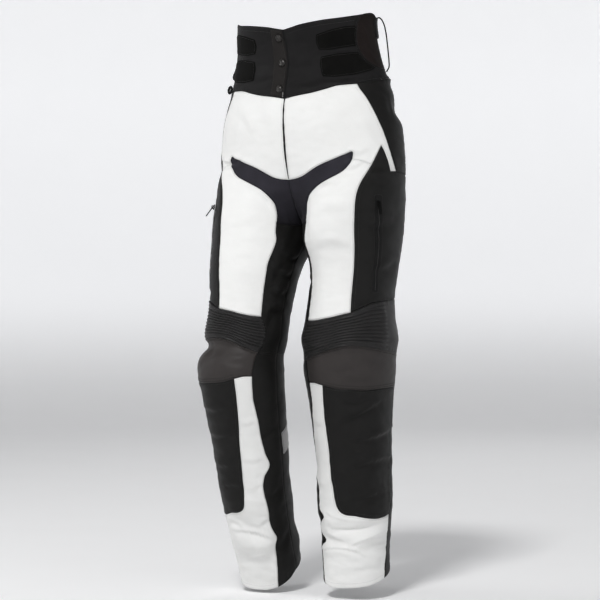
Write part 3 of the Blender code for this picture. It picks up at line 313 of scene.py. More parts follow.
# A fold is a soft ridge (positive depth) or trough along a bent line of three pattern points. The
# wide ones are the garment's large folds; the narrow ones are creases and pulls that run into seams.
FOLD_END, FOLD_FADE, FOLD_REACH, FOLD_STEPS = 0.04, 0.6, 3.6, 25
FOLD_COLUMNS = "side start start_height middle middle_height end end_height width depth"
Fold = namedtuple("Fold", FOLD_COLUMNS)
FOLDS = [
    Fold(LEFT, 190, 140, 310, 143, 430, 148, 11, -5),
    Fold(LEFT, 160, 160, 280, 158, 400, 156, 10, 3.5),
    Fold(LEFT, 100, 121, 200, 114, 330, 100, 12, -5.5),
    Fold(LEFT, 260, 106, 360, 120, 480, 134, 11, 4.5),
    Fold(LEFT, 100, 94, 240, 98, 360, 78, 12, 4.5),
    Fold(LEFT, 360, 100, 430, 104, 500, 110, 10, -4),
    Fold(LEFT, 600, 150, 750, 128, 900, 140, 13, -5.5),
    Fold(LEFT, 580, 105, 750, 92, 920, 106, 13, 4.5),
    Fold(LEFT, 250, 345, 360, 370, 460, 392, 16, -3.5),
    Fold(LEFT, 290, 300, 380, 322, 500, 338, 16, 3.5),
    Fold(LEFT, 270, 205, 360, 214, 470, 222, 14, -3.5),
    Fold(LEFT, 620, 520, 780, 505, 900, 520, 16, -7.5),
    Fold(LEFT, 620, 470, 780, 455, 900, 470, 16, -6),
    Fold(RIGHT, 160, 135, 240, 150, 320, 164, 11, -4.5),
    Fold(RIGHT, 100, 127, 200, 118, 320, 136, 11, 4.5),
    Fold(RIGHT, 120, 98, 220, 92, 340, 102, 12, -5),
    Fold(RIGHT, 600, 140, 750, 120, 900, 132, 13, -5.5),
    Fold(RIGHT, 580, 100, 750, 86, 920, 98, 13, 4.5),
    Fold(RIGHT, 300, 470, 420, 462, 540, 455, 22, 4),
    Fold(RIGHT, 280, 498, 420, 500, 560, 504, 12, -6.5),
    Fold(RIGHT, 620, 530, 780, 515, 900, 530, 16, -8.5),
    Fold(RIGHT, 620, 478, 780, 462, 900, 478, 16, -7),
    Fold(LEFT, 20, 835, 70, 800, 130, 745, 12, -4),
    Fold(RIGHT, 20, 835, 60, 800, 100, 740, 12, -4),
    Fold(RIGHT, 300, 905, 380, 890, 470, 880, 16, -4),
    Fold(LEFT, 620, 840, 780, 815, 930, 820, 20, -6),
    Fold(RIGHT, 620, 840, 780, 815, 930, 820, 20, -6),
    Fold(LEFT, 480, 1006, 660, 1005, 860, 1010, 20, -11.5),
    Fold(LEFT, 480, 1066, 660, 1069, 840, 1072, 7.5, 6),
    # inner calves, where the cloth has stacked
    Fold(RIGHT, 30, 398, 70, 388, 110, 392, 10, -3.1),
    Fold(RIGHT, 20, 330, 60, 318, 100, 322, 11, -3.4),
    Fold(RIGHT, 20, 205, 60, 190, 100, 196, 10, -3.6),
    Fold(RIGHT, 10, 128, 50, 112, 90, 118, 10, -3.9),
    Fold(LEFT, 20, 270, 50, 256, 90, 262, 11, -3.4),
    Fold(LEFT, 10, 160, 50, 150, 90, 156, 10, -3.6),
    # belt: the cloth stands up under the tabs and creases where it is drawn in
    Fold(LEFT, 50, 1046, 140, 1050, 280, 1060, 5, -1.2),
    Fold(LEFT, 300, 1128, 330, 1112, 360, 1096, 5, -1.2),
    Fold(RIGHT, 80, 1052, 180, 1056, 340, 1066, 4.5, 1.2),
    Fold(RIGHT, 60, 1150, 100, 1140, 140, 1142, 5, -1),
    Fold(RIGHT, 60, 1092, 100, 1100, 140, 1098, 5, -1),
    Fold(LEFT, 390, 1180, 420, 1150, 440, 1120, 6, -1.2),
    Fold(LEFT, 400, 1140, 440, 1112, 500, 1100, 6, 1.2),
    # fork and inner thighs: pulls that fan out from the fork
    Fold(LEFT, 10, 815, 50, 772, 90, 700, 7.5, -2.9),
    Fold(LEFT, 50, 842, 100, 800, 160, 720, 8, -2.4),
    Fold(LEFT, 10, 720, 50, 670, 90, 620, 11, -2.6),
    Fold(RIGHT, 10, 815, 40, 772, 70, 700, 7.5, -2.9),
    Fold(RIGHT, 20, 700, 60, 660, 100, 600, 11, -2.9),
    Fold(RIGHT, 10, 600, 50, 560, 80, 520, 12, -3.1),
    # seat and backs of the legs
    Fold(LEFT, 700, 800, 820, 770, 960, 775, 10, -3),
    Fold(RIGHT, 700, 800, 820, 770, 960, 775, 10, -3),
    Fold(LEFT, 660, 900, 800, 880, 970, 890, 18, -2.4),
    Fold(RIGHT, 660, 900, 800, 880, 970, 890, 18, -2.4),
    Fold(LEFT, 640, 700, 780, 684, 920, 700, 15, -2.6),
    Fold(RIGHT, 640, 660, 780, 640, 920, 655, 15, -3),
    Fold(LEFT, 640, 596, 780, 580, 900, 592, 12, -2.8),
    Fold(RIGHT, 640, 580, 780, 562, 900, 575, 12, -3.2),
    Fold(LEFT, 600, 495, 740, 484, 880, 494, 8, 2.6),
    Fold(RIGHT, 600, 505, 740, 490, 880, 502, 8, 3),
    Fold(LEFT, 600, 400, 740, 386, 900, 396, 14, -2.8),
    Fold(RIGHT, 600, 400, 740, 386, 900, 396, 14, -3.2),
    Fold(LEFT, 600, 230, 760, 214, 920, 226, 14, -2.8),
    Fold(RIGHT, 600, 220, 760, 204, 920, 214, 14, -3),
    Fold(LEFT, 560, 165, 720, 178, 880, 160, 8, 2.2),
    Fold(RIGHT, 560, 160, 720, 172, 880, 156, 8, 2.2),
]
# A crease is a sharper fold of the same kind: a ridge along the line's upper side and a trough along
# its lower side, each as high or deep as its depth.
Crease = namedtuple("Crease", FOLD_COLUMNS)
CREASES = [
    # hems and the folds above them
    Crease(LEFT, 204, 142, 304, 144, 420, 148, 3.4, 1.7),
    Crease(LEFT, 146, 128, 202, 124, 242, 118, 3.4, 1.3),
    Crease(LEFT, 286, 108, 382, 122, 494, 126, 3.4, 1.6),
    Crease(LEFT, 106, 94, 256, 102, 358, 84, 3.6, 1.8),
    Crease(LEFT, 414, 96, 454, 96, 512, 94, 3, 1.1),
    Crease(LEFT, 162, 172, 234, 162, 308, 158, 4, 1.3),
    Crease(LEFT, 236, 66, 332, 62, 464, 60, 6, 0.9),
    Crease(RIGHT, 352, 154, 282, 152, 252, 142, 3.6, 1.4),
    Crease(RIGHT, 326, 140, 202, 138, 98, 120, 3.6, 1.8),
    Crease(RIGHT, 250, 96, 198, 100, 132, 102, 3.6, 1.3),
    Crease(RIGHT, 170, 150, 136, 154, 102, 158, 3.2, 1.2),
    Crease(RIGHT, 296, 110, 218, 108, 126, 110, 6, 1),
    # belt, under the tabs and towards the fly
    Crease(LEFT, 150, 1117, 240, 1116.5, 345, 1123, 4.5, 2),
    Crease(LEFT, 150, 1060, 270, 1061, 430, 1075, 4.5, 2),
    Crease(LEFT, 40, 1056, 85, 1052, 140, 1058, 6, 1.6),
    Crease(LEFT, 30, 1140, 70, 1146, 120, 1138, 8, 1.2),
    Crease(LEFT, 20, 1100, 60, 1094, 110, 1100, 8, 1.4),
    Crease(LEFT, 385, 1178, 420, 1150, 425, 1118, 6, 1.4),
    Crease(RIGHT, 150, 1117, 230, 1116.5, 330, 1122, 4.5, 1.8),
    Crease(RIGHT, 70, 1074, 100, 1070, 140, 1076, 6, 1.4),
    # edge of the inner thigh between the legs
    Crease(RIGHT, 0, 700, 30, 694, 65, 704, 6, 2.2),
    Crease(RIGHT, 0, 668, 30, 660, 70, 672, 6, 2.4),
    Crease(RIGHT, 0, 630, 30, 622, 70, 634, 7, 2.4),
    Crease(RIGHT, 0, 590, 30, 584, 70, 594, 7, 2),
    Crease(LEFT, 0, 660, 30, 652, 75, 664, 7, 2),
    # shins and strips
    Crease(LEFT, 272, 362, 334, 374, 410, 394, 7, 3.4),
    Crease(LEFT, 302, 320, 394, 326, 522, 340, 7, 3.7),
    Crease(LEFT, 282, 258, 364, 274, 492, 278, 7.5, 3.4),
    Crease(LEFT, 258, 196, 350, 204, 470, 212, 6, 2.8),
    Crease(LEFT, 242, 414, 298, 400, 382, 408, 7, 2.5),
    Crease(RIGHT, 390, 376, 284, 374, 226, 386, 7, 2.8),
    Crease(RIGHT, 392, 326, 284, 322, 228, 336, 7, 2.8),
    Crease(RIGHT, 396, 262, 284, 260, 230, 274, 7, 2.5),
    Crease(RIGHT, 396, 202, 286, 218, 238, 216, 6, 2),
    Crease(RIGHT, 194, 354, 164, 346, 126, 350, 6.5, 1),
    Crease(RIGHT, 208, 284, 166, 270, 108, 274, 6.5, 1),
    Crease(RIGHT, 214, 220, 180, 210, 122, 220, 6.5, 1),
    Crease(LEFT, 112, 360, 160, 352, 194, 360, 6.5, 1),
    Crease(LEFT, 80, 234, 166, 226, 208, 236, 6.5, 1),
    # knee caps
    Crease(RIGHT, 300, 500, 282, 482, 276, 452, 7.5, 1.1),
    Crease(RIGHT, 380, 452, 330, 466, 300, 492, 7, 1),
    Crease(RIGHT, 135, 476, 180, 468, 230, 478, 6.5, 1.1),
    Crease(LEFT, 146, 500, 210, 508, 272, 502, 7, 1.4),
    Crease(LEFT, 174, 478, 235, 466, 300, 474, 7, 1.2),
    Crease(LEFT, 250, 452, 330, 446, 400, 456, 7, 1.2),
    Crease(LEFT, 332, 494, 375, 480, 425, 488, 7, 1.4),
    # hips and thighs
    Crease(RIGHT, 346, 908, 262, 900, 194, 908, 4, 2.7),
    Crease(RIGHT, 312, 886, 252, 888, 220, 878, 4, 2.1),
    Crease(RIGHT, 210, 1006, 152, 982, 128, 956, 9, 1.5),
    Crease(RIGHT, 84, 1016, 52, 972, 40, 936, 10, 1.2),
    Crease(LEFT, 210, 894, 262, 878, 302, 890, 5, 1.8),
    Crease(LEFT, 218, 916, 268, 906, 314, 916, 6, 1.5),
    Crease(LEFT, 256, 980, 280, 956, 326, 932, 10, 1.5),
    Crease(RIGHT, 278, 752, 228, 766, 172, 756, 10, 1.5),
    Crease(RIGHT, 268, 682, 218, 694, 132, 684, 10, 1.4),
    Crease(LEFT, 180, 786, 242, 796, 308, 788, 10, 1.5),
    Crease(LEFT, 176, 712, 244, 724, 312, 710, 10, 1.4),
    Crease(RIGHT, 124, 828, 106, 812, 108, 788, 5, 1.6),
    Crease(LEFT, 128, 834, 170, 846, 230, 846, 6, 1.5),
    Crease(LEFT, 342, 850, 380, 858, 438, 846, 8, 2.7),
    Crease(LEFT, 342, 768, 382, 760, 448, 778, 9, 2.7),
    Crease(LEFT, 374, 686, 430, 674, 490, 696, 9, 2.7),
]
# The whole cloth is never quite even: shallow ripples of three sizes run all over it. They are longer
# round the leg than up it, calm on the belt and liveliest low down, where the cloth has stacked.
Ripple = namedtuple("Ripple", "size flatter depth")
RIPPLES = [Ripple(0.060, 1.3, 0.0012), Ripple(0.026, 1.9, 0.0007), Ripple(0.011, 1.6, 0.00020)]
RIPPLE_CALM = (-0.06, 0.02, 0.35)
RIPPLE_LIVELY = (-0.72, -0.95, 1.7)


def smooth_table(rows):
    """A function that reads a table's columns at any height, on a smooth curve through its rows."""
    table = np.array(sorted(rows), float)
    for k, column in enumerate(rows[0]._fields):
        if column != "tilt":
            table[:, k] /= THOUSANDTHS
    heights, values = table[:, 0], table[:, 1:]
    slopes = np.gradient(values, heights, axis=0)

    def at(height):
        height = np.clip(height, heights[0], heights[-1])
        i = np.clip(np.searchsorted(heights, height, side="right") - 1, 0, len(heights) - 2)
        step = (heights[i + 1] - heights[i])[:, None]
        f = (height - heights[i])[:, None] / step
        mixed = (2 * f**3 - 3 * f**2 + 1) * values[i] + (f**3 - 2 * f**2 + f) * step * slopes[i]
        mixed += (3 * f**2 - 2 * f**3) * values[i + 1] + (f**3 - f**2) * step * slopes[i + 1]
        return mixed.T

    return at


LEG_AT = {LEFT: smooth_table(LEFT_LEG), RIGHT: smooth_table(RIGHT_LEG)}
HIPS_AT = smooth_table(HIPS)
CLOSING_AT = smooth_table(CLOSING_LINE)


def rounded(value, roundness):
    """A sine or cosine bent towards a squarer ring."""
    return np.copysign(np.abs(value) ** (2.0 / roundness), value)


def ease(value):
    """From 0 to 1 with a soft start and end."""
    value = np.clip(value, 0.0, 1.0)
    return value * value * (3 - 2 * value)


def plain_points(side, pattern):
    """The smooth outer face of the cloth at an array of (round, height) places, before its folds."""
    around, height = pattern[:, 0], pattern[:, 1]
    high = height + LEG_AT[side](height)[6]
    out, forward, half_width, half_depth, tilt, turn, _ = LEG_AT[side](high)
    end = np.cos(np.pi * around) ** 2
    pinned = ease((high - FORK_HEIGHT + PIN_BAND) / PIN_BAND)
    angle = 2 * np.pi * (around + turn * (1 - pinned * end))
    x = -half_width * rounded(np.cos(angle), LEG_ROUNDNESS)
    y = -half_depth * rounded(np.sin(angle), LEG_ROUNDNESS)
    tilt = np.radians(tilt)
    joined = end**2 * ease((high - FORK_HEIGHT + JOIN_BAND) / JOIN_BAND)
    leg = np.stack([
        out + x - (out - half_width) * joined,
        forward + y * np.cos(tilt) + (CROTCH_FORWARD - forward) * joined,
        high + y * np.sin(tilt),
    ], axis=1)
    centre, hip_width, to_front, to_back = HIPS_AT(high)
    half_turn = np.pi * around
    depth = np.where(np.cos(half_turn) > 0, to_front, to_back)
    hip = np.stack([
        hip_width * rounded(np.sin(half_turn), HIP_ROUNDNESS),
        centre - depth * rounded(np.cos(half_turn), HIP_ROUNDNESS),
        high,
    ], axis=1)
    share = np.clip((high - FORK_HEIGHT) / (FULL_HIP_HEIGHT - FORK_HEIGHT), 0.0, 1.0)
    steep = np.sqrt(1 - (1 - share) ** 2)
    weight = (ease(share) * (1 - end**2) + steep * end**2)[:, None]
    point = leg * (1 - weight) + hip * weight
    point[:, 0] *= side
    point[:, 0] += CLOSING_AT(high)[0] * np.exp(-((around / CLOSING_FADE) ** 2))
    point[:, 2] -= WAIST_HEIGHT
    return point


def worn_points(side, pattern):
    """The plain form with its sharp turn at the fork's height softened away from the inseam."""
    around, height = pattern[:, 0], pattern[:, 1]
    point = plain_points(side, pattern)
    near = np.exp(-(((height - FORK_HEIGHT) / FORK_SOFT) ** 4))
    near *= ease(around / FORK_SOFT_FROM) * ease((1 - around) / FORK_SOFT_FROM)
    chosen = near > 0.001
    if chosen.any():
        part = pattern[chosen]
        mean = sum(plain_points(side, part + (0, step)) for step in FORK_STEPS) / len(FORK_STEPS)
        point[chosen] += (mean - point[chosen]) * near[chosen, None]
    return point


def normals_at(side, pattern):
    """Unit directions out of the cloth. On the centre line above the fork they have no sideways part."""
    sideways, upward = np.array([STEP, 0.0]), np.array([0.0, STEP])
    right, left = pattern + sideways, pattern - sideways
    above_fork = pattern[:, 1] >= FORK_HEIGHT - 1e-6
    right[above_fork, 0] = np.minimum(right[above_fork, 0], 1.0)
    left[above_fork, 0] = np.maximum(left[above_fork, 0], 0.0)
    across = worn_points(side, right) - worn_points(side, left)
    up = worn_points(side, pattern + upward) - worn_points(side, pattern - upward)
    normal = np.cross(across, up) * side
    ends = above_fork & ((pattern[:, 0] < 1e-9) | (pattern[:, 0] > 1 - 1e-9))
    normal[ends, 0] = 0.0
    return normal / np.linalg.norm(normal, axis=1, keepdims=True)


def fold_depth(side, pattern):
    """How far the folds and creases lift the cloth at an array of places."""
    lift = np.zeros(len(pattern))
    flat = pattern * (SHEET_WIDTH, 1.0)
    along = np.linspace(0, 1, FOLD_STEPS)[:, None]
    for fold in FOLDS + CREASES:
        if fold.side != side:
            continue
        *places, width, depth = np.array(fold[1:]) / THOUSANDTHS
        ends = np.reshape(places, (3, 2)) * (SHEET_WIDTH, 1.0)
        reach = FOLD_REACH * width
        close = ((flat > ends.min(axis=0) - reach) & (flat < ends.max(axis=0) + reach)).all(axis=1)
        if not close.any():
            continue
        bend = 2 * ends[1] - (ends[0] + ends[2]) / 2
        path = ends[0] * (1 - along) ** 2 + 2 * bend * along * (1 - along) + ends[2] * along**2
        away = np.linalg.norm(flat[close, None] - path[None], axis=2)
        nearest = away.argmin(axis=1)
        fade = np.sin(np.pi * np.clip(along[nearest, 0], FOLD_END, 1 - FOLD_END)) ** FOLD_FADE
        share = away.min(axis=1) / width
        if isinstance(fold, Crease):
            run = ends[2] - ends[0]
            above = np.array([-run[1], run[0]]) * (1 if run[0] > 0 else -1)
            upper = np.sign((flat[close] - path[nearest]) @ above)
            lift[close] += depth * fade * upper * share * np.exp((1 - share**2) / 2)
        else:
            lift[close] += depth * fade * np.exp(-(share**2))
    return lift


def uneven(points):
    """Soft unevenness of the cloth at places in space."""
    found = np.zeros(len(points))
    for size, flatter, depth in RIPPLES:
        stretched = points * (1 / size, 1 / size, flatter / size)
        found += depth * np.array([noise.noise(Vector(p)) for p in stretched])
    for start, full, share in (RIPPLE_CALM, RIPPLE_LIVELY):
        found *= 1 + (share - 1) * ease((points[:, 2] - start) / (full - start))
    return found


def cloth_points(side, pattern, raised=0.0):
    """The outer face with its folds and unevenness, moved out by raised."""
    pattern = np.asarray(pattern, float)
    plain = worn_points(side, pattern)
    offset = fold_depth(side, pattern) + uneven(plain) + raised
    return plain + normals_at(side, pattern) * offset[:, None]


def near_places(side, flat):
    """The plain form and the direction out of it at flat places."""
    pattern = np.asarray(flat, float) / (SHEET_WIDTH, 1.0)
    return worn_points(side, pattern), normals_at(side, pattern)


def seam_line(side, name, step):
    """A seam as flat points at even steps along the cloth, run backwards where its name starts with -."""
    seam = SEAMS[name.lstrip("-")]
    curve = smooth_curve(seam[side] if isinstance(seam, dict) else seam)
    place = plain_points(side, curve)
    travelled = np.concatenate([[0.0], np.cumsum(np.linalg.norm(np.diff(place, axis=0), axis=1))])
    at = np.linspace(0, travelled[-1], max(1, round(travelled[-1] / step)) + 1)
    line = np.stack([np.interp(at, travelled, curve[:, k]) for k in (0, 1)], axis=1)
    line = line * (SHEET_WIDTH, 1.0)
    return line[::-1] if name.startswith("-") else line


def outline_of(side, seams, step):
    """The closed flat outline of a panel from the seams round it."""
    found = [seam_line(side, name, step) for name in seams.split()]
    meets = [np.allclose(a[-1], b[0]) for a, b in zip(found, found[1:] + found[:1])]
    return np.vstack([line[:-1] if met else line for line, met in zip(found, meets)])


def inside(outline, points):
    """Which flat points lie inside a closed outline."""
    x, y = points[:, 0][:, None], points[:, 1][:, None]
    ax, ay = outline[:, 0], outline[:, 1]
    bx, by = np.roll(ax, -1), np.roll(ay, -1)
    rise = np.where(by == ay, 1.0, by - ay)
    crosses = ((ay > y) != (by > y)) & (x < (bx - ax) * (y - ay) / rise + ax)
    return crosses.sum(axis=1) % 2 == 1


# The edge of a sewn panel: it rolls down into the seam, stands a little higher over the allowance that
# is turned under it, and puckers where the thread pulls it.
Edge = namedtuple("Edge", "drop roll ridge reach pucker")
SEWN_EDGE = Edge(drop=0.0009, roll=0.0024, ridge=0.00045, reach=0.0075, pucker=0.00035)
FLAT_EDGE = Edge(drop=0.0003, roll=0.0014, ridge=0.0001, reach=0.0060, pucker=0.00015)
# The puckers round an edge: three waves (length, share and phase) whose height comes and goes.
PUCKER_WAVES = ((0.0091, 0.5, 0.3), (0.0137, 0.35, 1.9), (0.0061, 0.25, 4.1))
PUCKER_LEAST, PUCKER_SWELL, PUCKER_RUN, PUCKER_IN = 0.65, 0.35, 0.083, 0.0045
RIDGE_FALL = 0.004
EDGE_STEP = 0.0008
EDGE_ROWS = (0.0011, 0.0026, 0.0050, 0.0085)
RIM_STEP = 0.0036
CLOTH = 0.0018
SEAM_GAP = 0.0002
# SEAM_SHADE is how far the painted seam shade reaches in from a panel's edge.
SEAM_SHADE = 0.0014
INNER_SPACING, INNER_CLEAR = 0.0075, 0.004
ROWS_APART = 0.0006
Panel = namedtuple("Panel", "side outline tree edge extra base")


def make_panel(side, outline, edge=SEWN_EDGE, extra=None, base=None):
    """A cut panel: its flat outline and everything that lifts its face off the plain form."""
    ring = even_steps(np.vstack([outline, outline[:1]]), EDGE_STEP)[:-1]
    tree = KDTree(len(ring))
    for k, (x, y) in enumerate(ring):
        tree.insert((x, y, 0), k)
    tree.balance()
    return Panel(side, outline, tree, edge, extra, base)


def to_edge(panel, flat):
    """How far flat places are from a panel's edge, and how far round it their nearest point is."""
    found = [panel.tree.find((x, y, 0)) for x, y in flat]
    return np.array([one[2] for one in found]), np.array([one[1] for one in found]) * EDGE_STEP


def face_offset(panel, flat, away=None, at=None):
    """How far a panel's outer face stands off the plain form."""
    flat = np.asarray(flat, float)
    if away is None:
        away, at = to_edge(panel, flat)
    edge = panel.edge
    offset = -edge.drop * (1 - ease(away / edge.roll))
    offset += edge.ridge * ease(away / edge.roll) * (1 - ease((away - edge.reach) / RIDGE_FALL))
    wave = sum(share * np.sin(2 * math.pi * at / length + phase) for length, share, phase in PUCKER_WAVES)
    wave *= PUCKER_LEAST + PUCKER_SWELL * np.sin(2 * math.pi * at / PUCKER_RUN)
    offset += edge.pucker * wave * np.exp(-(((away - PUCKER_IN) / PUCKER_IN) ** 2))
    if panel.extra:
        offset += panel.extra(flat)
    if panel.base:
        return offset + face_offset(panel.base, flat)
    pattern = flat / (SHEET_WIDTH, 1.0)
    return offset + fold_depth(panel.side, pattern) + uneven(worn_points(panel.side, pattern))


def on_panel(panel, flat, raised):
    """Points on a panel's outer face, raised off it."""
    plain, out = near_places(panel.side, flat)
    return plain + out * (face_offset(panel, flat) + raised)[:, None]


def inward(outline):
    """The unit direction into a closed flat outline at each of its points."""
    ahead = np.roll(outline, -1, axis=0) - np.roll(outline, 1, axis=0)
    ahead /= np.linalg.norm(ahead, axis=1, keepdims=True)
    return np.stack([-ahead[:, 1], ahead[:, 0]], axis=1)


def staggered(panel, spacing, keep_off):
    """A staggered grid of flat points inside a panel, kept off its edge."""
    low, high = panel.outline.min(axis=0), panel.outline.max(axis=0)
    rows = np.arange(low[1], high[1], spacing * 0.87)
    columns = np.arange(low[0], high[0], spacing)
    x, y = np.meshgrid(columns, rows)
    x = x + spacing * 0.5 * (np.arange(len(rows)) % 2)[:, None]
    grid = np.stack([x.ravel(), y.ravel()], axis=1)
    grid = grid[inside(panel.outline, grid)]
    return grid[to_edge(panel, grid)[0] > keep_off]


def triangles_inside(outline, fill):
    """Triangles over a closed outline through fill points: their flat points and their faces."""
    points = [Vector(p) for p in np.vstack([outline, fill])]
    found = delaunay_2d_cdt(points, [], [list(range(len(outline)))], 1, 1e-8)
    vertices, faces, origins = found[0], found[2], found[3]
    flat = np.array([points[origin[0]] if origin else v for v, origin in zip(vertices, origins)], float)
    index = {one: k for k, origin in enumerate(origins) for one in origin}
    return flat, [list(face) for face in faces], [index[k] for k in range(len(outline))]


def seam_inset(points, normals, rim, side, distance):
    """Moves a rim inwards along the cloth, so that two panels leave a seam's gap between them."""
    loop = points[rim]
    forward = np.roll(loop, -1, axis=0) - loop
    forward /= np.linalg.norm(forward, axis=1, keepdims=True)
    inward_a = np.cross(normals[rim], np.roll(forward, 1, axis=0)) * side
    inward_b = np.cross(normals[rim], forward) * side
    middle = inward_a + inward_b
    middle /= np.linalg.norm(middle, axis=1, keepdims=True)
    reach = np.maximum((middle * inward_b).sum(axis=1), 0.45)
    points[rim] += middle * (distance / reach)[:, None]


def sew_panel(name, panel, spacing, material, gap=SEAM_GAP, fill=None):
    """A panel as a closed cloth wall, put in place of its CAD node."""
    side = panel.side
    rows = []
    for row in EDGE_ROWS:
        line = panel.outline + inward(panel.outline) * row
        line = line[inside(panel.outline, line)]
        rows.append(line[to_edge(panel, line)[0] > row * 0.85])
    grid = staggered(panel, spacing, EDGE_ROWS[-1] + spacing * 0.4) if fill is None else fill
    grid = grid[to_edge(panel, grid)[0] > EDGE_ROWS[-1] + ROWS_APART]
    flat, faces, rim = triangles_inside(panel.outline, np.vstack([*rows, grid]))
    plain, out = near_places(side, flat)
    away, at = to_edge(panel, flat)
    outer = plain + out * face_offset(panel, flat, away, at)[:, None]
    seam_inset(outer, out, rim, side, gap)
    inner_grid = staggered(panel, INNER_SPACING, INNER_CLEAR)
    flat_in, faces_in, rim_in = triangles_inside(panel.outline, inner_grid)
    plain_in, out_in = near_places(side, flat_in)
    if panel.base:
        behind = face_offset(panel.base, flat_in) + LAY_GAP
    else:
        behind = -CLOTH + fold_depth(side, flat_in / (SHEET_WIDTH, 1.0)) + uneven(plain_in)
    inner = plain_in + out_in * behind[:, None]
    seam_inset(inner, out_in, rim_in, side, gap)
    shift = len(outer)
    ring = list(zip(rim, rim[1:] + rim[:1], rim_in, rim_in[1:] + rim_in[:1]))
    shell = faces + [[k + shift for k in face[::-1]] for face in faces_in]
    shell += [[a, c + shift, d + shift, b] for a, b, c, d in ring]
    if side < 0:
        shell = [face[::-1] for face in shell]
    piece = mesh_piece(f"{name}_cloth", np.vstack([outer, inner]), shell, material)
    paper = np.vstack([flat, flat_in])
    order = np.zeros(len(piece.data.loops), np.int32)
    piece.data.loops.foreach_get("vertex_index", order)
    piece.data.uv_layers.new(name="cloth").data.foreach_set("uv", paper[order].astype(np.float32).ravel())
    # Painted shade: the seam attribute darkens the cloth's colour close to each seam, where the cloth sinks
    # in.
    seam = np.concatenate([np.exp(-away / SEAM_SHADE), np.zeros(len(flat_in))]).astype(np.float32)
    piece.data.attributes.new("seam", "FLOAT", "POINT").data.foreach_set("value", seam)
    belongs(piece, name)
    return piece


def add_math(tree, operation, *values):
    """A math node whose inputs are numbers or other nodes' outputs."""
    node = tree.nodes.new("ShaderNodeMath")
    node.operation = operation
    for socket, value in zip(node.inputs, values):
        if isinstance(value, (int, float)):
            socket.default_value = value
        else:
            tree.links.new(value, socket)
    return node.outputs[0]


def woven(
    name, dark, light, roughness, sheen, thread=0.0006, depth=0.00010, mottle=0.5, seam_shade=0.22,
    gloss=0.12, twill=False, fade=None,
):
    """A woven cloth: threads over and under each other, an uneven dye, and painted shade along its seams and
    between its threads.
    """
    material = new_material(name, Sheen_Weight=sheen, Sheen_Roughness=0.45, Specular_IOR_Level=gloss)
    tree = material.node_tree
    nodes, links = tree.nodes, tree.links
    paper = nodes.new("ShaderNodeUVMap")
    paper.uv_map = "cloth"
    split = nodes.new("ShaderNodeSeparateXYZ")
    links.new(paper.outputs["UV"], split.inputs["Vector"])
    across = add_math(tree, "MULTIPLY", split.outputs["X"], math.pi / thread)
    along = add_math(tree, "MULTIPLY", split.outputs["Y"], math.pi / thread)
    if twill:
        threads = add_math(tree, "SINE", add_math(tree, "ADD", across, along))
    else:
        threads = add_math(tree, "MULTIPLY", add_math(tree, "SINE", across), add_math(tree, "SINE", along))
    weave = add_math(tree, "MULTIPLY_ADD", threads, 0.5, 0.5)
    dye = noise_in(tree, 28.0, 5.0)
    fuzz = noise_in(tree, 700.0, 2.0)
    seam = nodes.new("ShaderNodeAttribute")
    seam.attribute_name = "seam"
    tone = add_math(tree, "MULTIPLY_ADD", dye, mottle, 0.62 - mottle / 2)
    # Painted shade between the threads: the tone is lower where the weave dips.
    tone = add_math(tree, "MULTIPLY_ADD", weave, 0.12, tone)
    tone = add_math(tree, "MULTIPLY_ADD", fuzz, 0.16, add_math(tree, "ADD", tone, -0.10))
    # Painted shade along the seams: the tone falls by seam_shade where the seam attribute is full.
    tone = add_math(tree, "MULTIPLY_ADD", seam.outputs["Fac"], -seam_shade, tone)
    # Painted shade: with fade given, the tone is darkened towards the bottom, to 0.3 of itself below the
    # lower of the two heights.
    if fade:
        place = nodes.new("ShaderNodeTexCoord")
        high = nodes.new("ShaderNodeSeparateXYZ")
        links.new(place.outputs["Object"], high.inputs["Vector"])
        share = nodes.new("ShaderNodeMapRange")
        share.inputs["From Min"].default_value = fade[0]
        share.inputs["From Max"].default_value = fade[1]
        share.inputs["To Min"].default_value = 0.3
        links.new(high.outputs["Z"], share.inputs["Value"])
        tone = add_math(tree, "MULTIPLY", tone, share.outputs["Result"])
    tone_ramp(tree, tone, 0.0, 1.0, dark, light)
    rough = add_math(tree, "MULTIPLY_ADD", dye, 0.14, roughness - 0.07)
    links.new(rough, nodes["Principled BSDF"].inputs["Roughness"])
    bump_from(tree, add_math(tree, "MULTIPLY_ADD", fuzz, 0.5, weave), 0.30, depth)
    return material


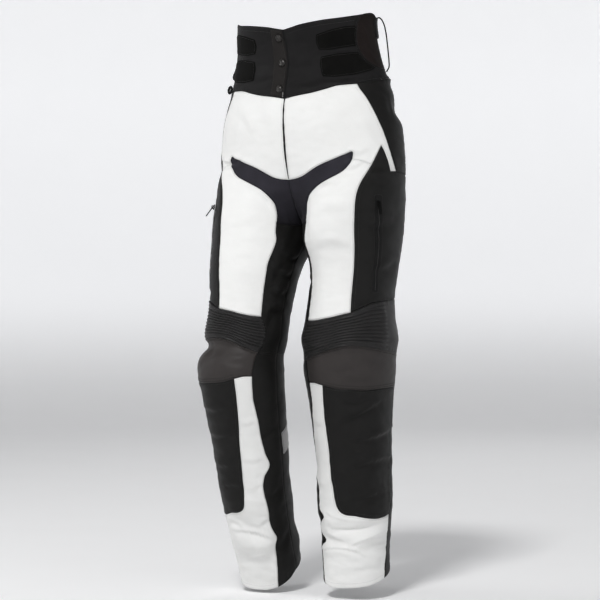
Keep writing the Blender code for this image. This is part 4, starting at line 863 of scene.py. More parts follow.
def stitch_tree():
    """Geometry Nodes that sew stitches along the edges of a mesh, one to a pitch, each a rounded thread."""
    tree = bpy.data.node_groups.new("stitching", "GeometryNodeTree")
    tree.interface.new_socket("Lines", in_out="INPUT", socket_type="NodeSocketGeometry")
    for label, value in (("Pitch", 0.0030), ("Length", 0.0022), ("Thickness", 0.0006)):
        socket = tree.interface.new_socket(label, in_out="INPUT", socket_type="NodeSocketFloat")
        socket.default_value = value
    tree.interface.new_socket("Thread", in_out="INPUT", socket_type="NodeSocketMaterial")
    tree.interface.new_socket("Stitches", in_out="OUTPUT", socket_type="NodeSocketGeometry")
    nodes = tree.nodes
    given = nodes.new("NodeGroupInput")
    result = nodes.new("NodeGroupOutput")
    curve = nodes.new("GeometryNodeMeshToCurve")
    spaced = nodes.new("GeometryNodeResampleCurve")
    spaced.mode = "LENGTH"
    tangent = nodes.new("GeometryNodeInputTangent")
    aligned = nodes.new("FunctionNodeAlignRotationToVector")
    aligned.axis = "X"
    ball = nodes.new("GeometryNodeMeshUVSphere")
    ball.inputs["Segments"].default_value = 6
    ball.inputs["Rings"].default_value = 4
    ball.inputs["Radius"].default_value = 0.5
    size = nodes.new("ShaderNodeCombineXYZ")
    stretched = nodes.new("GeometryNodeTransform")
    placed = nodes.new("GeometryNodeInstanceOnPoints")
    real = nodes.new("GeometryNodeRealizeInstances")
    dyed = nodes.new("GeometryNodeSetMaterial")
    joins = [
        (given, "Lines", curve, "Mesh"), (curve, "Curve", spaced, "Curve"),
        (given, "Pitch", spaced, "Length"), (tangent, "Tangent", aligned, "Vector"),
        (given, "Length", size, "X"), (given, "Thickness", size, "Y"), (given, "Thickness", size, "Z"),
        (size, "Vector", stretched, "Scale"),
        (ball, "Mesh", stretched, "Geometry"), (spaced, "Curve", placed, "Points"),
        (stretched, "Geometry", placed, "Instance"), (aligned, "Rotation", placed, "Rotation"),
        (placed, "Instances", real, "Geometry"), (real, "Geometry", dyed, "Geometry"),
        (given, "Thread", dyed, "Material"), (dyed, "Geometry", result, "Stitches"),
    ]
    for source, output, target, socket in joins:
        tree.links.new(source.outputs[output], target.inputs[socket])
    return tree


STITCHING = stitch_tree()
STITCH_RISE = 0.00012
ROW_STEP, ROW_KEPT = 0.002, 0.9


def applied(source, tree, values, name):
    """Runs a Geometry Nodes tree on an object and keeps its result as a plain mesh piece."""
    made_by = source.modifiers.new("nodes", "NODES")
    made_by.node_group = tree
    for item in tree.interface.items_tree:
        if item.in_out == "INPUT" and item.name in values:
            made_by[item.identifier] = values[item.name]
    graph = bpy.context.evaluated_depsgraph_get()
    mesh = bpy.data.meshes.new_from_object(source.evaluated_get(graph))
    bpy.data.objects.remove(source, do_unlink=True)
    mesh.name = name
    mesh.shade_smooth()
    piece = bpy.data.objects.new(name, mesh)
    bpy.context.scene.collection.objects.link(piece)
    return piece


def line_object(name, lines):
    """An object of bare edges through lists of points."""
    vertices, edges = [], []
    for line in lines:
        first = len(vertices)
        vertices += np.asarray(line).tolist()
        edges += [(first + k, first + k + 1) for k in range(len(line) - 1)]
    mesh = bpy.data.meshes.new(name)
    mesh.from_pydata(vertices, edges, [])
    obj = bpy.data.objects.new(name, mesh)
    bpy.context.scene.collection.objects.link(obj)
    return obj


def stitch(name, lines, thread, pitch=0.0030, length=0.0022, thickness=0.0006):
    """Stitches along lists of points, as one piece."""
    values = {"Pitch": pitch, "Length": length, "Thickness": thickness, "Thread": thread}
    belongs(applied(line_object(name, lines), STITCHING, values, name))


def row(panel, seam, away):
    """A row of stitches inside a panel, some way from one of its seams."""
    line = seam_line(panel.side, seam, ROW_STEP)
    ahead = np.gradient(line, axis=0)
    ahead /= np.linalg.norm(ahead, axis=1, keepdims=True)
    line = line + np.stack([-ahead[:, 1], ahead[:, 0]], axis=1) * away
    line = line[inside(panel.outline, line)]
    return on_panel(panel, line[to_edge(panel, line)[0] > away * ROW_KEPT], STITCH_RISE)


def rows_along(panel, away, seams):
    """Rows of stitches along several of a panel's seams, all the same way in from them."""
    return [row(panel, seam, away) for seam in seams.split()]


def sewn(kind, side, seams, spacing, cloth, slot, held="hung", edge=SEWN_EDGE, step=RIM_STEP):
    """One half's panel of a kind, cut between its seams and sewn in."""
    panel = make_panel(side, outline_of(side, seams, step), edge)
    sew_panel(f"{kind}_{SIDE_NAME[side]}", panel, spacing, cloth)
    return panel


SEAMS = {
    "waist_front": [
        (0, 1.167), (0.035, 1.171), (0.08, 1.176), (0.18, 1.183), (0.275, 1.188), (0.401, 1.196),
    ],
    "kidney_edge": [
        (0.401, 1.196), (0.373, 1.174), (0.355, 1.153), (0.348, 1.133), (0.358, 1.119), (0.376, 1.107),
        (0.411, 1.097), (0.456, 1.091), (0.524, 1.088), (0.65, 1.092), (0.80, 1.096), (1, 1.098),
    ],
    "belt_seam_front": [
        (0, 1.025), (0.04, 1.030), (0.095, 1.035), (0.153, 1.042), (0.21, 1.049), (0.296, 1.052),
    ],
    "belt_seam_side": [(0.296, 1.052), (0.374, 1.059), (0.452, 1.064), (0.52, 1.068), (0.60, 1.071)],
    "belt_seam_back": [(0.60, 1.071), (0.75, 1.076), (0.88, 1.078), (1, 1.078)],
    "centre_belt": [(0, 1.025), (0, 1.167)],
    "back_belt": [(1, 1.078), (1, 1.098)],
}
BELT_SEAMS = (
    "belt_seam_front belt_seam_side belt_seam_back back_belt -kidney_edge -waist_front -centre_belt"
)
belt_black = woven(
    "belt_black", (0.004, 0.004, 0.0042), (0.0135, 0.013, 0.0132), 0.54, 0.01, thread=0.00045, gloss=0.08,
)
thread_black = plain_material("thread_black", (0.020, 0.019, 0.018), 0.55, sheen=0.05)
belts = {}
for side in (LEFT, RIGHT):
    belts[side] = sewn("belt", side, BELT_SEAMS, 0.0038, belt_black, "belt_cloth", "stretched")
belt_rows = []
for belt in belts.values():
    belt_rows += [row(belt, "-waist_front", 0.0030), row(belt, "-waist_front", 0.0105)]
    belt_rows += rows_along(belt, 0.0028, "belt_seam_front belt_seam_side belt_seam_back")
    belt_rows.append(row(belt, "-kidney_edge", 0.0030))
stitch("belt_stitches", belt_rows, thread_black)


# Kidney panel
# A softer, brownish black pad cloth across the small of the back, let into the belt with a piped seam.
# A short padded tab of the belt's cloth is sewn on it at the wearer's left, under the waist loop.
SEAMS.update({
    "waist_back": {
        LEFT: [(0.401, 1.196), (0.47, 1.202), (0.53, 1.204), (0.65, 1.200), (0.80, 1.194), (1, 1.190)],
        RIGHT: [(0.401, 1.196), (0.47, 1.197), (0.53, 1.196), (0.65, 1.194), (0.80, 1.192), (1, 1.190)],
    },
    "back_kidney": [(1, 1.098), (1, 1.190)],
})
KIDNEY_SEAMS = "kidney_edge back_kidney -waist_back"
PIPING_RADIUS = 0.0012
PIPING_RISE = -0.0001
PIPING_SIDES = 10
LAY_GAP = 0.0003
BACK_TAB = [
    (0.535, 1.154), (0.575, 1.154), (0.615, 1.154), (0.615, 1.196), (0.575, 1.198), (0.540, 1.199),
]
PADDED_TAB = 0.0036
CORNER, CORNER_SHARE, LAID_STEP, LAID_DROP = 0.0026, 0.45, 0.0028, 0.62


def piping(name, side, seam, material):
    """A covered cord sewn into a seam."""
    flat = seam_line(side, seam, ROW_STEP)
    plain, out = near_places(side, flat)
    depth = fold_depth(side, flat / (SHEET_WIDTH, 1.0)) + uneven(plain) + PIPING_RISE
    line = plain + out * depth[:, None]
    tube = tube_along(line, lambda angle, travelled: PIPING_RADIUS + 0 * (angle + travelled), PIPING_SIDES)
    belongs(mesh_piece(name, *tube, material))


def soft_corners(outline, corner):
    """A closed flat outline with rounded corners, at even steps."""
    corners = np.array(outline) * (SHEET_WIDTH, 1.0)
    found = []
    for before, here, after in zip(np.roll(corners, 1, axis=0), corners, np.roll(corners, -1, axis=0)):
        back, ahead = before - here, after - here
        back_length, ahead_length = np.linalg.norm(back), np.linalg.norm(ahead)
        back, ahead = back / back_length, ahead / ahead_length
        reach = min(corner, back_length * CORNER_SHARE, ahead_length * CORNER_SHARE)
        for f in (0.0, 0.25, 0.5, 0.75, 1.0):
            found.append(here + back * reach * (1 - f) ** 2 + ahead * reach * f**2)
    return even_steps(np.vstack([found, found[:1]]), LAID_STEP)[:-1]


def laid_panel(side, base, outline, thickness, corner=CORNER, extra=None):
    """A piece sewn flat on another panel: it follows that panel's face and stands its thickness proud."""
    edge = Edge(drop=thickness * LAID_DROP, roll=0.0026, ridge=0.0, reach=0.004, pucker=0.00015)

    def proud(flat):
        lift = LAY_GAP + thickness
        return lift + extra(flat) if extra else np.full(len(flat), lift)

    return make_panel(side, soft_corners(outline, corner), edge, proud, base)


def ring_row(panel, away):
    """A closed row of stitches inside a laid panel."""
    line = panel.outline + inward(panel.outline) * away
    line = line[to_edge(panel, line)[0] > away * ROW_KEPT]
    return on_panel(panel, np.vstack([line, line[:1]]), STITCH_RISE)


kidney_black = woven(
    "kidney_black", (0.003, 0.0022, 0.0022), (0.019, 0.0148, 0.0138), 0.80, 0.02, thread=0.0009,
    mottle=0.8, gloss=0.04,
)
kidneys = {}
for side in (LEFT, RIGHT):
    kidney = ("kidney_panel", side, KIDNEY_SEAMS, 0.0050, kidney_black, "kidney_cloth", "stretched")
    kidneys[side] = sewn(*kidney)
    piping(f"kidney_piping_{SIDE_NAME[side]}", side, "kidney_edge", belt_black)
back_tab = laid_panel(LEFT, kidneys[LEFT], BACK_TAB, PADDED_TAB)
sew_panel("back_tab", back_tab, 0.0030, belt_black, gap=0.0)
kidney_rows = [row(panel, "kidney_edge", 0.0032) for panel in kidneys.values()]
kidney_rows += [row(panel, "-waist_back", 0.0030) for panel in kidneys.values()]
stitch("kidney_stitches", kidney_rows + [ring_row(back_tab, 0.0030)], thread_black)


# Fastening tabs
# Two pairs of hook-and-loop tabs that draw the belt in at both sides: velvety black loop cloth, stiff
# at the edges, with a soft bound lower edge that catches the light.
FASTENER_TABS = {
    "upper_tab": [
        (0.146, 1.153), (0.138, 1.138), (0.146, 1.123), (0.200, 1.122), (0.275, 1.127), (0.343, 1.131),
        (0.350, 1.152), (0.366, 1.172), (0.300, 1.170), (0.220, 1.163),
    ],
    "lower_tab": [
        (0.150, 1.108), (0.142, 1.092), (0.147, 1.068), (0.200, 1.066), (0.290, 1.070), (0.400, 1.081),
        (0.440, 1.088), (0.404, 1.094), (0.370, 1.104), (0.346, 1.118), (0.300, 1.117), (0.220, 1.114),
    ],
}
TAB_THICK = 0.0014
STRAP_END, STRAP_END_LIFT = (0.425, 1.084), 0.0055
STRAP_END_LONG, STRAP_END_TALL = 0.075, 0.030
tab_black = woven(
    "tab_black", (0.001, 0.001, 0.001), (0.006, 0.006, 0.0055), 0.95, 0.03, thread=0.0005, mottle=0.9,
    gloss=0.05,
)
tab_rows = []


def strap_end(flat):
    """How far the pointed end of the lower right tab springs off the belt."""
    beyond = (flat[:, 0] / SHEET_WIDTH - STRAP_END[0] + STRAP_END_LONG) / STRAP_END_LONG
    below = (STRAP_END[1] + STRAP_END_TALL - flat[:, 1]) / STRAP_END_TALL
    return STRAP_END_LIFT * ease(beyond) * ease(below)


for side in (LEFT, RIGHT):
    for tab, outline in FASTENER_TABS.items():
        springs = strap_end if (side, tab) == (RIGHT, "lower_tab") else None
        laid = laid_panel(side, belts[side], outline, TAB_THICK, extra=springs)
        sew_panel(f"{tab}_{SIDE_NAME[side]}", laid, 0.0045, tab_black, gap=0.0)
        tab_rows.append(ring_row(laid, 0.0028))
stitch("tab_stitches", tab_rows, thread_black)


# Placket and snaps
# A narrow strip of belt cloth on the wearer's right half laps over the closure. Three domed snap caps
# of dark metal are riveted through it.
PLACKET = [
    (0.004, 1.029), (0.030, 1.032), (0.054, 1.034), (0.056, 1.075), (0.057, 1.120), (0.055, 1.170),
    (0.030, 1.168), (0.004, 1.165), (0.003, 1.100),
]
placket_black = woven(
    "placket_black", (0.006, 0.0057, 0.0055), (0.0235, 0.0215, 0.0205), 0.70, 0.02, thread=0.00045,
    gloss=0.05,
)
SNAP_ROUND = 0.020
SNAP_HEIGHTS = (1.151, 1.100, 1.046)
DIMPLE, DIMPLE_WIDE = 0.0010, 0.0085


def snap_dimples(flat):
    """Where the snaps press into the placket."""
    found = np.zeros(len(flat))
    for height in SNAP_HEIGHTS:
        away = np.linalg.norm(flat - (SNAP_ROUND * SHEET_WIDTH, height), axis=1)
        found -= DIMPLE * np.exp(-((away / DIMPLE_WIDE) ** 4))
    return found


placket = laid_panel(RIGHT, belts[RIGHT], PLACKET, TAB_THICK, corner=0.0012, extra=snap_dimples)
sew_panel("placket", placket, 0.0030, placket_black, gap=0.0)
stitch("placket_stitches", [ring_row(placket, 0.0026)], thread_black)
# The cap's turned profile from its middle to its foot: distance out and height, in metres.
SNAP_PROFILE = [
    (0.0000, 0.0031), (0.0012, 0.0031), (0.0026, 0.0029), (0.0038, 0.0024), (0.0044, 0.0017),
    (0.0048, 0.0015), (0.0053, 0.0019), (0.0060, 0.0023), (0.0067, 0.0022), (0.0073, 0.0015),
    (0.0074, 0.0007), (0.0071, 0.0000),
]
SNAP_SIDES, SNAP_RISE = 40, 0.0002
FINE_GRAIN = {"grain": 1500, "grain_depth": 0.00003}
dark_metal = plain_material("dark_metal", (0.055, 0.053, 0.051), 0.30, metallic=1.0, **FINE_GRAIN)


def place_frame(side, around, height, raised):
    """A matrix at a place on the cloth: X along it to the garment's left, Y up it, Z out of it."""
    pattern = np.array([[around, height]])
    out = Vector(normals_at(side, pattern)[0])
    place = Vector(worn_points(side, pattern)[0]) + out * (raised + fold_depth(side, pattern)[0])
    up = Vector((0, 0, 1))
    up = (up - out * up.dot(out)).normalized()
    turn = Matrix((up.cross(out), up, out)).transposed().to_4x4()
    return Matrix.Translation(place) @ turn


def turned(profile, sides, matrix):
    """Vertices and faces of a closed profile turned about Z, put in place by a matrix."""
    vertices = [matrix @ Vector((0, 0, profile[0][1]))]
    for out, rise in profile[1:]:
        for k in range(sides):
            angle = 2 * math.pi * k / sides
            vertices.append(matrix @ Vector((out * math.cos(angle), out * math.sin(angle), rise)))
    faces = [[0, 1 + k, 1 + (k + 1) % sides] for k in range(sides)]
    for r in range(len(profile) - 2):
        a, b = 1 + r * sides, 1 + (r + 1) * sides
        faces += [[a + k, b + k, b + (k + 1) % sides, a + (k + 1) % sides] for k in range(sides)]
    last = 1 + (len(profile) - 2) * sides
    faces.append([last + k for k in range(sides)][::-1])
    return [tuple(v) for v in vertices], faces


for k, height in enumerate(SNAP_HEIGHTS):
    matrix = place_frame(RIGHT, SNAP_ROUND, height, LAY_GAP + TAB_THICK + SNAP_RISE)
    snap = mesh_piece(f"snap_cap_{k + 1}", *turned(SNAP_PROFILE, SNAP_SIDES, matrix), dark_metal, 35)
    belongs(snap, f"snap_{k + 1}")


# The fly zip's bare metal end shows below the last snap, just inside the closing edge.
ZIP_END_ROUND, ZIP_END_HEIGHT = 0.0050, 1.0335
ZIP_END_SIZE = Vector((0.0016, 0.0100, 0.0012))
bright_metal = plain_material("bright_metal", (0.42, 0.41, 0.40), 0.28, metallic=1.0, **FINE_GRAIN)
matrix = place_frame(RIGHT, ZIP_END_ROUND, ZIP_END_HEIGHT, LAY_GAP + TAB_THICK + ZIP_END_SIZE.z / 2)
square = ((-0.5, -0.5), (0.5, -0.5), (0.5, 0.5), (-0.5, 0.5))
corners = [matrix @ (Vector((x, y, z)) * ZIP_END_SIZE) for z in (-0.5, 0.5) for x, y in square]
box_faces = [[3, 2, 1, 0], [4, 5, 6, 7], [0, 1, 5, 4], [1, 2, 6, 5], [2, 3, 7, 6], [3, 0, 4, 7]]
zip_end = mesh_piece("fly_zip_end", [tuple(corner) for corner in corners], box_faces, bright_metal, 20)
belongs(zip_end)


# Hip fronts
# The white panels below the belt, of a coated plain weave. They meet at the fly, where a dark lens of
# zip tape shows between their edges, and their outer edges are the slanted pocket mouths.
SEAMS.update({
    "centre_fly": [(0, 0.858), (0, 1.025)],
    "pocket_edge": [
        (0.480, 0.874), (0.454, 0.896), (0.421, 0.923), (0.390, 0.953), (0.365, 0.980), (0.344, 1.004),
        (0.324, 1.025), (0.307, 1.039), (0.296, 1.052),
    ],
    "pocket_end": [(0.449, 0.873), (0.480, 0.874)],
    "pocket_inner": [(0.376, 0.926), (0.397, 0.914), (0.423, 0.896), (0.449, 0.873)],
    "side_front_top": [(0.347, 0.885), (0.353, 0.895), (0.363, 0.911), (0.376, 0.926)],
    "hip_seam": [(0.257, 0.897), (0.300, 0.893), (0.347, 0.885)],
    "inset_top": [
        (0, 0.858), (0.03, 0.860), (0.061, 0.866), (0.118, 0.884), (0.19, 0.900), (0.223, 0.907),
        (0.250, 0.912), (0.257, 0.897),
    ],
})
HIP_FRONT_SEAMS = (
    "inset_top hip_seam side_front_top pocket_inner pocket_end pocket_edge -belt_seam_front -centre_fly"
)
white_cloth = woven(
    "white_cloth", (0.56, 0.56, 0.55), (0.86, 0.86, 0.845), 0.72, 0.08, mottle=0.18, seam_shade=0.20,
    gloss=0.2,
)
thread_white = plain_material("thread_white", (0.46, 0.46, 0.45), 0.6)
WHITE_ROW = 0.0024
# The dark strip of the fly: how wide it is on the wearer's left and right half at each height.
FLY = [
    (1.027, 0.0010, 0.0010), (1.000, 0.0012, 0.0011), (0.970, 0.0013, 0.0013), (0.940, 0.0014, 0.0014),
    (0.915, 0.0013, 0.0013), (0.890, 0.0010, 0.0009), (0.868, 0.0006, 0.0004), (0.860, 0.0002, 0.0002),
]
FLY_RISE, FLY_EDGE_RISE, FLY_BACK = 0.0004, -0.0002, -0.0012
hip_fronts = {}
for side in (LEFT, RIGHT):
    hip_fronts[side] = sewn("hip_front", side, HIP_FRONT_SEAMS, 0.0038, white_cloth, "white_cloth")
hip_rows = []
for panel in hip_fronts.values():
    hip_rows += [row(panel, "pocket_edge", WHITE_ROW), row(panel, "pocket_edge", 0.0080)]
    hip_rows += rows_along(panel, WHITE_ROW, "-belt_seam_front inset_top side_front_top pocket_inner")
hip_rows += [row(panel, "-centre_fly", 0.0030) for panel in hip_fronts.values()]
stitch("hip_front_stitches", hip_rows, thread_white)
fly_sections = []
for height, left, right in FLY:
    fly_sections.append([
        cloth_points(side, [(around, height)], rise)[0] for side, around, rise in (
            (RIGHT, 2 * right, FLY_EDGE_RISE), (RIGHT, right, FLY_RISE), (LEFT, left, FLY_RISE),
            (LEFT, 2 * left, FLY_EDGE_RISE), (LEFT, left, FLY_BACK), (RIGHT, right, FLY_BACK),
        )
    ])
fly_points = smooth_curve(np.array(fly_sections).reshape(len(FLY), -1), per_span=6).reshape(-1, 3)
count = len(fly_points) // 6
fly_faces = [
    [k * 6 + i, (k + 1) * 6 + i, (k + 1) * 6 + (i + 1) % 6, k * 6 + (i + 1) % 6]
    for k in range(count - 1) for i in range(6)
]
fly_faces += [[0, 1, 2, 3, 4, 5], [(count - 1) * 6 + i for i in range(6)][::-1]]
belongs(mesh_piece("fly_tape", fly_points, fly_faces, cord_black))


# Hip sides
# The black panels behind the pocket mouths, of the heavier plain weave used for all the black cloth.
SEAMS.update({
    "hip_side_back": [(0.60, 0.868), (0.60, 1.071)],
    "hip_side_bottom": [(0.480, 0.874), (0.540, 0.870), (0.60, 0.868)],
})
HIP_SIDE_SEAMS = "-pocket_edge hip_side_bottom hip_side_back -belt_seam_side"
black_cloth = woven(
    "black_cloth", (0.003, 0.003, 0.0028), (0.0092, 0.0088, 0.0083), 0.50, 0.01, seam_shade=0.10,
    gloss=0.15,
)
BLACK_ROW = 0.0026
hip_sides = []
for side in (LEFT, RIGHT):
    hip_sides.append(sewn("hip_side", side, HIP_SIDE_SEAMS, 0.0050, black_cloth, "black_cloth"))
side_rows = [row(panel, "hip_side_back", BLACK_ROW) for panel in hip_sides]
stitch("hip_side_stitches", side_rows, thread_black)


# Inset
# The stretch inset of the fork: a coarse bluish black weave whose two arms reach up into the hips.
FORK_ABOVE, FORK_BELOW, FORK_ROUND = 0.0014, 0.0050, 0.012
SEAMS.update({
    "centre_crotch": [(0, FORK_HEIGHT + FORK_ABOVE), (0, 0.858)],
    "inset_low": [
        (0.110, 0.768), (0.092, 0.786), (0.080, 0.803), (0.083, 0.815), (0.100, 0.828), (0.126, 0.840),
        (0.16, 0.850), (0.191, 0.858), (0.229, 0.869), (0.252, 0.884), (0.257, 0.897),
    ],
    "fork_seam": [(FORK_ROUND, 0.7645), (0.055, 0.766), (0.110, 0.768)],
})
INSET_SEAMS = "fork_seam inset_low -inset_top -centre_crotch"
# Painted shade: the inset's colour darkens towards its bottom between these heights, where the fork is in
# shade.
INSET_PAINTED_SHADE = (-0.335, -0.262)
inset_black = woven(
    "inset_black", (0.004, 0.0038, 0.0042), (0.036, 0.034, 0.043), 0.70, 0.03, gloss=0.05, thread=0.0010,
    depth=0.00018, fade=INSET_PAINTED_SHADE,
)
for side in (LEFT, RIGHT):
    sewn("crotch_inset", side, INSET_SEAMS, 0.0040, inset_black, "inset_cloth", "stretched")


# Thigh fronts
# The long white front panels of the thighs, lapped over the inset and topstitched down both edges.
SEAMS.update({
    "side_front": [
        (0.286, 0.583), (0.291, 0.605), (0.298, 0.644), (0.304, 0.687), (0.311, 0.730), (0.316, 0.776),
        (0.316, 0.805), (0.318, 0.833), (0.327, 0.855), (0.347, 0.885),
    ],
    "thigh_inner": [
        (0.105, 0.566), (0.111, 0.620), (0.114, 0.680), (0.117, 0.730), (0.119, 0.750), (0.110, 0.768),
    ],
    "thigh_bottom": [(0.105, 0.566), (0.153, 0.567), (0.197, 0.571), (0.240, 0.577), (0.286, 0.583)],
})
THIGH_FRONT_SEAMS = "thigh_bottom side_front -hip_seam -inset_low -thigh_inner"
thigh_rows = []
for side in (LEFT, RIGHT):
    panel = sewn("thigh_front", side, THIGH_FRONT_SEAMS, 0.0038, white_cloth, "white_cloth")
    thigh_rows += rows_along(panel, WHITE_ROW, "side_front -thigh_inner -inset_low thigh_bottom -hip_seam")
stitch("thigh_front_stitches", thigh_rows, thread_white)


# Thigh sides
# The black side panels of the thighs. A vertical zip pocket is let into each, its coil on a narrow
# twill tape, with a black enamelled slider and pull at the top.
SEAMS.update({
    "rib_top": [
        (0.286, 0.583), (0.330, 0.592), (0.374, 0.601), (0.430, 0.606), (0.500, 0.609), (0.575, 0.612),
    ],
    "thigh_side_back": [(0.575, 0.612), (0.588, 0.740), (0.60, 0.868)],
})
THIGH_SIDE_SEAMS = (
    "rib_top thigh_side_back -hip_side_bottom -pocket_end -pocket_inner -side_front_top -side_front"
)
THIGH_ZIP = [
    (0.386, 0.822), (0.410, 0.822), (0.409, 0.740), (0.406, 0.680), (0.402, 0.625), (0.378, 0.625),
    (0.382, 0.680), (0.385, 0.740),
]
ZIP_TAPE = 0.0010
ZIP_LINE = [(0.390, 0.629), (0.394, 0.680), (0.397, 0.740), (0.398, 0.799)]
TOOTH_PITCH, TOOTH_HALF, TOOTH_THICK, COIL_RISE = 0.0013, 0.0017, 0.0011, 0.0003
tape_black = woven(
    "tape_black", (0.003, 0.003, 0.003), (0.012, 0.012, 0.012), 0.6, 0.05, thread=0.0008, twill=True,
)
coil_grey = plain_material("coil_grey", (0.035, 0.034, 0.033), 0.38, grain=1800)
zip_rows, coil_lines = [], []
for side in (LEFT, RIGHT):
    panel = sewn("thigh_side", side, THIGH_SIDE_SEAMS, 0.0046, black_cloth, "black_cloth")
    tape = laid_panel(side, panel, THIGH_ZIP, ZIP_TAPE, corner=0.0008)
    sew_panel(f"thigh_zip_{SIDE_NAME[side]}", tape, 0.0036, tape_black, gap=0.0)
    zip_rows.append(ring_row(tape, 0.0020))
    flat = even_steps(smooth_curve(ZIP_LINE) * (SHEET_WIDTH, 1.0), ROW_STEP)
    coil_lines.append(on_panel(tape, flat, COIL_RISE))
    zip_rows += [row(panel, "-side_front", BLACK_ROW), row(panel, "-side_front", 0.0070)]
    zip_rows += rows_along(panel, BLACK_ROW, "thigh_side_back rib_top")
stitch("thigh_side_stitches", zip_rows, thread_black)
stitch("zip_coils", coil_lines, coil_grey, TOOTH_PITCH, TOOTH_THICK, TOOTH_HALF)
black_enamel = plain_material("black_enamel", (0.004, 0.004, 0.004), 0.70, **FINE_GRAIN)
black_enamel.node_tree.nodes["Principled BSDF"].inputs["Specular IOR Level"].default_value = 0.08
for side in (LEFT, RIGHT):
    for node in ("zip_slider", "zip_pull"):
        bpy.data.objects[f"{node}_{SIDE_NAME[side]}"].data.materials[0] = black_enamel


# Knee ribs
# A stretch panel over each knee, gathered by rows of elastic into twelve soft ribs, with a plain strip
# beside them towards the back.
SEAMS.update({
    "rib_inner": [(0.102, 0.484), (0.084, 0.505), (0.080, 0.535), (0.105, 0.566)],
    "rib_bottom": [
        (0.102, 0.484), (0.146, 0.491), (0.184, 0.498), (0.217, 0.506), (0.252, 0.512), (0.287, 0.514),
        (0.323, 0.513), (0.362, 0.510), (0.407, 0.506), (0.490, 0.498), (0.560, 0.494),
    ],
    "rib_outer": [(0.560, 0.494), (0.575, 0.612)],
})
RIB_SEAMS = "rib_bottom rib_outer -rib_top -thigh_bottom -rib_inner"
RIB_COUNT = 12
RIB_HEIGHT = 0.0026
RIB_VALLEY = -0.0007
RIB_TO, RIB_FADE = 0.438, 0.020
RIB_ROWS_EACH = 6
RIB_STEP, RIB_RIM_STEP, RIB_CLEAR = 0.0030, 0.0020, 0.0012
RIB_FROM, RIB_END, RIB_ROUNDNESS = 0.076, 0.580, 0.75
rib_high = smooth_curve(SEAMS["thigh_bottom"][:-1] + SEAMS["rib_top"])
rib_low = smooth_curve(SEAMS["rib_bottom"])


def rib_bounds(around):
    """The heights between which the ribs lie at places round the leg."""
    low = np.interp(around, rib_low[:, 0], rib_low[:, 1])
    return low, np.interp(around, rib_high[:, 0], rib_high[:, 1])


def rib_relief(flat):
    """The ribs' rounded crests and narrow valleys, which fade out towards the back."""
    around = flat[:, 0] / SHEET_WIDTH
    low, high = rib_bounds(around)
    share = (flat[:, 1] - low) / (high - low)
    crest = np.abs(np.sin(math.pi * RIB_COUNT * share)) ** RIB_ROUNDNESS
    fade = 1 - ease((around - RIB_TO + RIB_FADE / 2) / RIB_FADE)
    return fade * (RIB_VALLEY + RIB_HEIGHT * crest)


rib_black = woven(
    "rib_black", (0.003, 0.003, 0.003), (0.019, 0.018, 0.018), 0.52, 0.05, thread=0.0007, gloss=0.2,
)
rib_around = np.arange(RIB_FROM, RIB_END, RIB_STEP / SHEET_WIDTH)
rib_low_at, rib_high_at = rib_bounds(rib_around)
rib_shares = np.arange(0.25, RIB_COUNT * RIB_ROWS_EACH) / (RIB_COUNT * RIB_ROWS_EACH)
rib_grid = np.vstack([
    np.stack([rib_around * SHEET_WIDTH, rib_low_at + (rib_high_at - rib_low_at) * share], axis=1)
    for share in rib_shares
])
for side in (LEFT, RIGHT):
    panel = make_panel(side, outline_of(side, RIB_SEAMS, RIB_RIM_STEP), extra=rib_relief)
    fill = rib_grid[inside(panel.outline, rib_grid)]
    fill = fill[to_edge(panel, fill)[0] > RIB_CLEAR]
    name = f"knee_ribs_{SIDE_NAME[side]}"
    sew_panel(name, panel, 0.0040, rib_black, fill=fill)


# Knee caps
# The padded-out caps over the knees, of a warm, slightly lighter black cloth, with a piped seam along
# the arch at the top and two rows of topstitching above the lower edge.
SEAMS.update({
    "knee_inner": [(0.115, 0.437), (0.110, 0.458), (0.102, 0.484)],
    "knee_bottom_inner": [(0.115, 0.437), (0.150, 0.437), (0.187, 0.433)],
    "knee_bottom": [
        (0.187, 0.433), (0.232, 0.427), (0.289, 0.424), (0.349, 0.423), (0.419, 0.425), (0.545, 0.429),
    ],
    "knee_outer": [(0.545, 0.429), (0.560, 0.494)],
})
KNEE_SEAMS = "knee_bottom_inner knee_bottom knee_outer -rib_bottom -knee_inner"
knee_black = woven("knee_black", (0.009, 0.0078, 0.0074), (0.041, 0.0355, 0.034), 0.55, 0.04, gloss=0.2)
knee_rows = []
for side in (LEFT, RIGHT):
    panel = sewn("knee_cap", side, KNEE_SEAMS, 0.0040, knee_black, "black_cloth")
    piping(f"knee_piping_{SIDE_NAME[side]}", side, "rib_bottom", knee_black)
    knee_rows += [row(panel, "knee_bottom", 0.0034), row(panel, "knee_bottom", 0.0082)]
    knee_rows += [row(panel, "-rib_bottom", 0.0034), row(panel, "knee_bottom_inner", BLACK_ROW)]
thread_knee = plain_material("thread_knee", (0.004, 0.004, 0.004), 0.8)
stitch("knee_cap_stitches", knee_rows, thread_knee, 0.0032, 0.0027, 0.0009)


# Shins
# The black shin panels, square at the foot with rounded corners, double stitched along their edges.
SEAMS.update({
    "shin_edge": [
        (0.187, 0.433), (0.187, 0.395), (0.193, 0.355), (0.203, 0.310), (0.207, 0.270), (0.212, 0.235),
        (0.216, 0.205), (0.221, 0.187), (0.233, 0.176), (0.260, 0.170), (0.300, 0.168), (0.340, 0.164),
        (0.385, 0.160), (0.440, 0.157), (0.500, 0.160),
    ],
    "shin_outer": [(0.500, 0.160), (0.525, 0.300), (0.545, 0.429)],
})
SHIN_SEAMS = "shin_edge shin_outer -knee_bottom"
shin_rows = []
for side in (LEFT, RIGHT):
    panel = sewn("shin", side, SHIN_SEAMS, 0.0042, black_cloth, "black_cloth")
    shin_rows += [row(panel, "shin_edge", BLACK_ROW), row(panel, "shin_edge", 0.0062)]
    shin_rows.append(row(panel, "-knee_bottom", BLACK_ROW))
stitch("shin_stitches", shin_rows, thread_black)


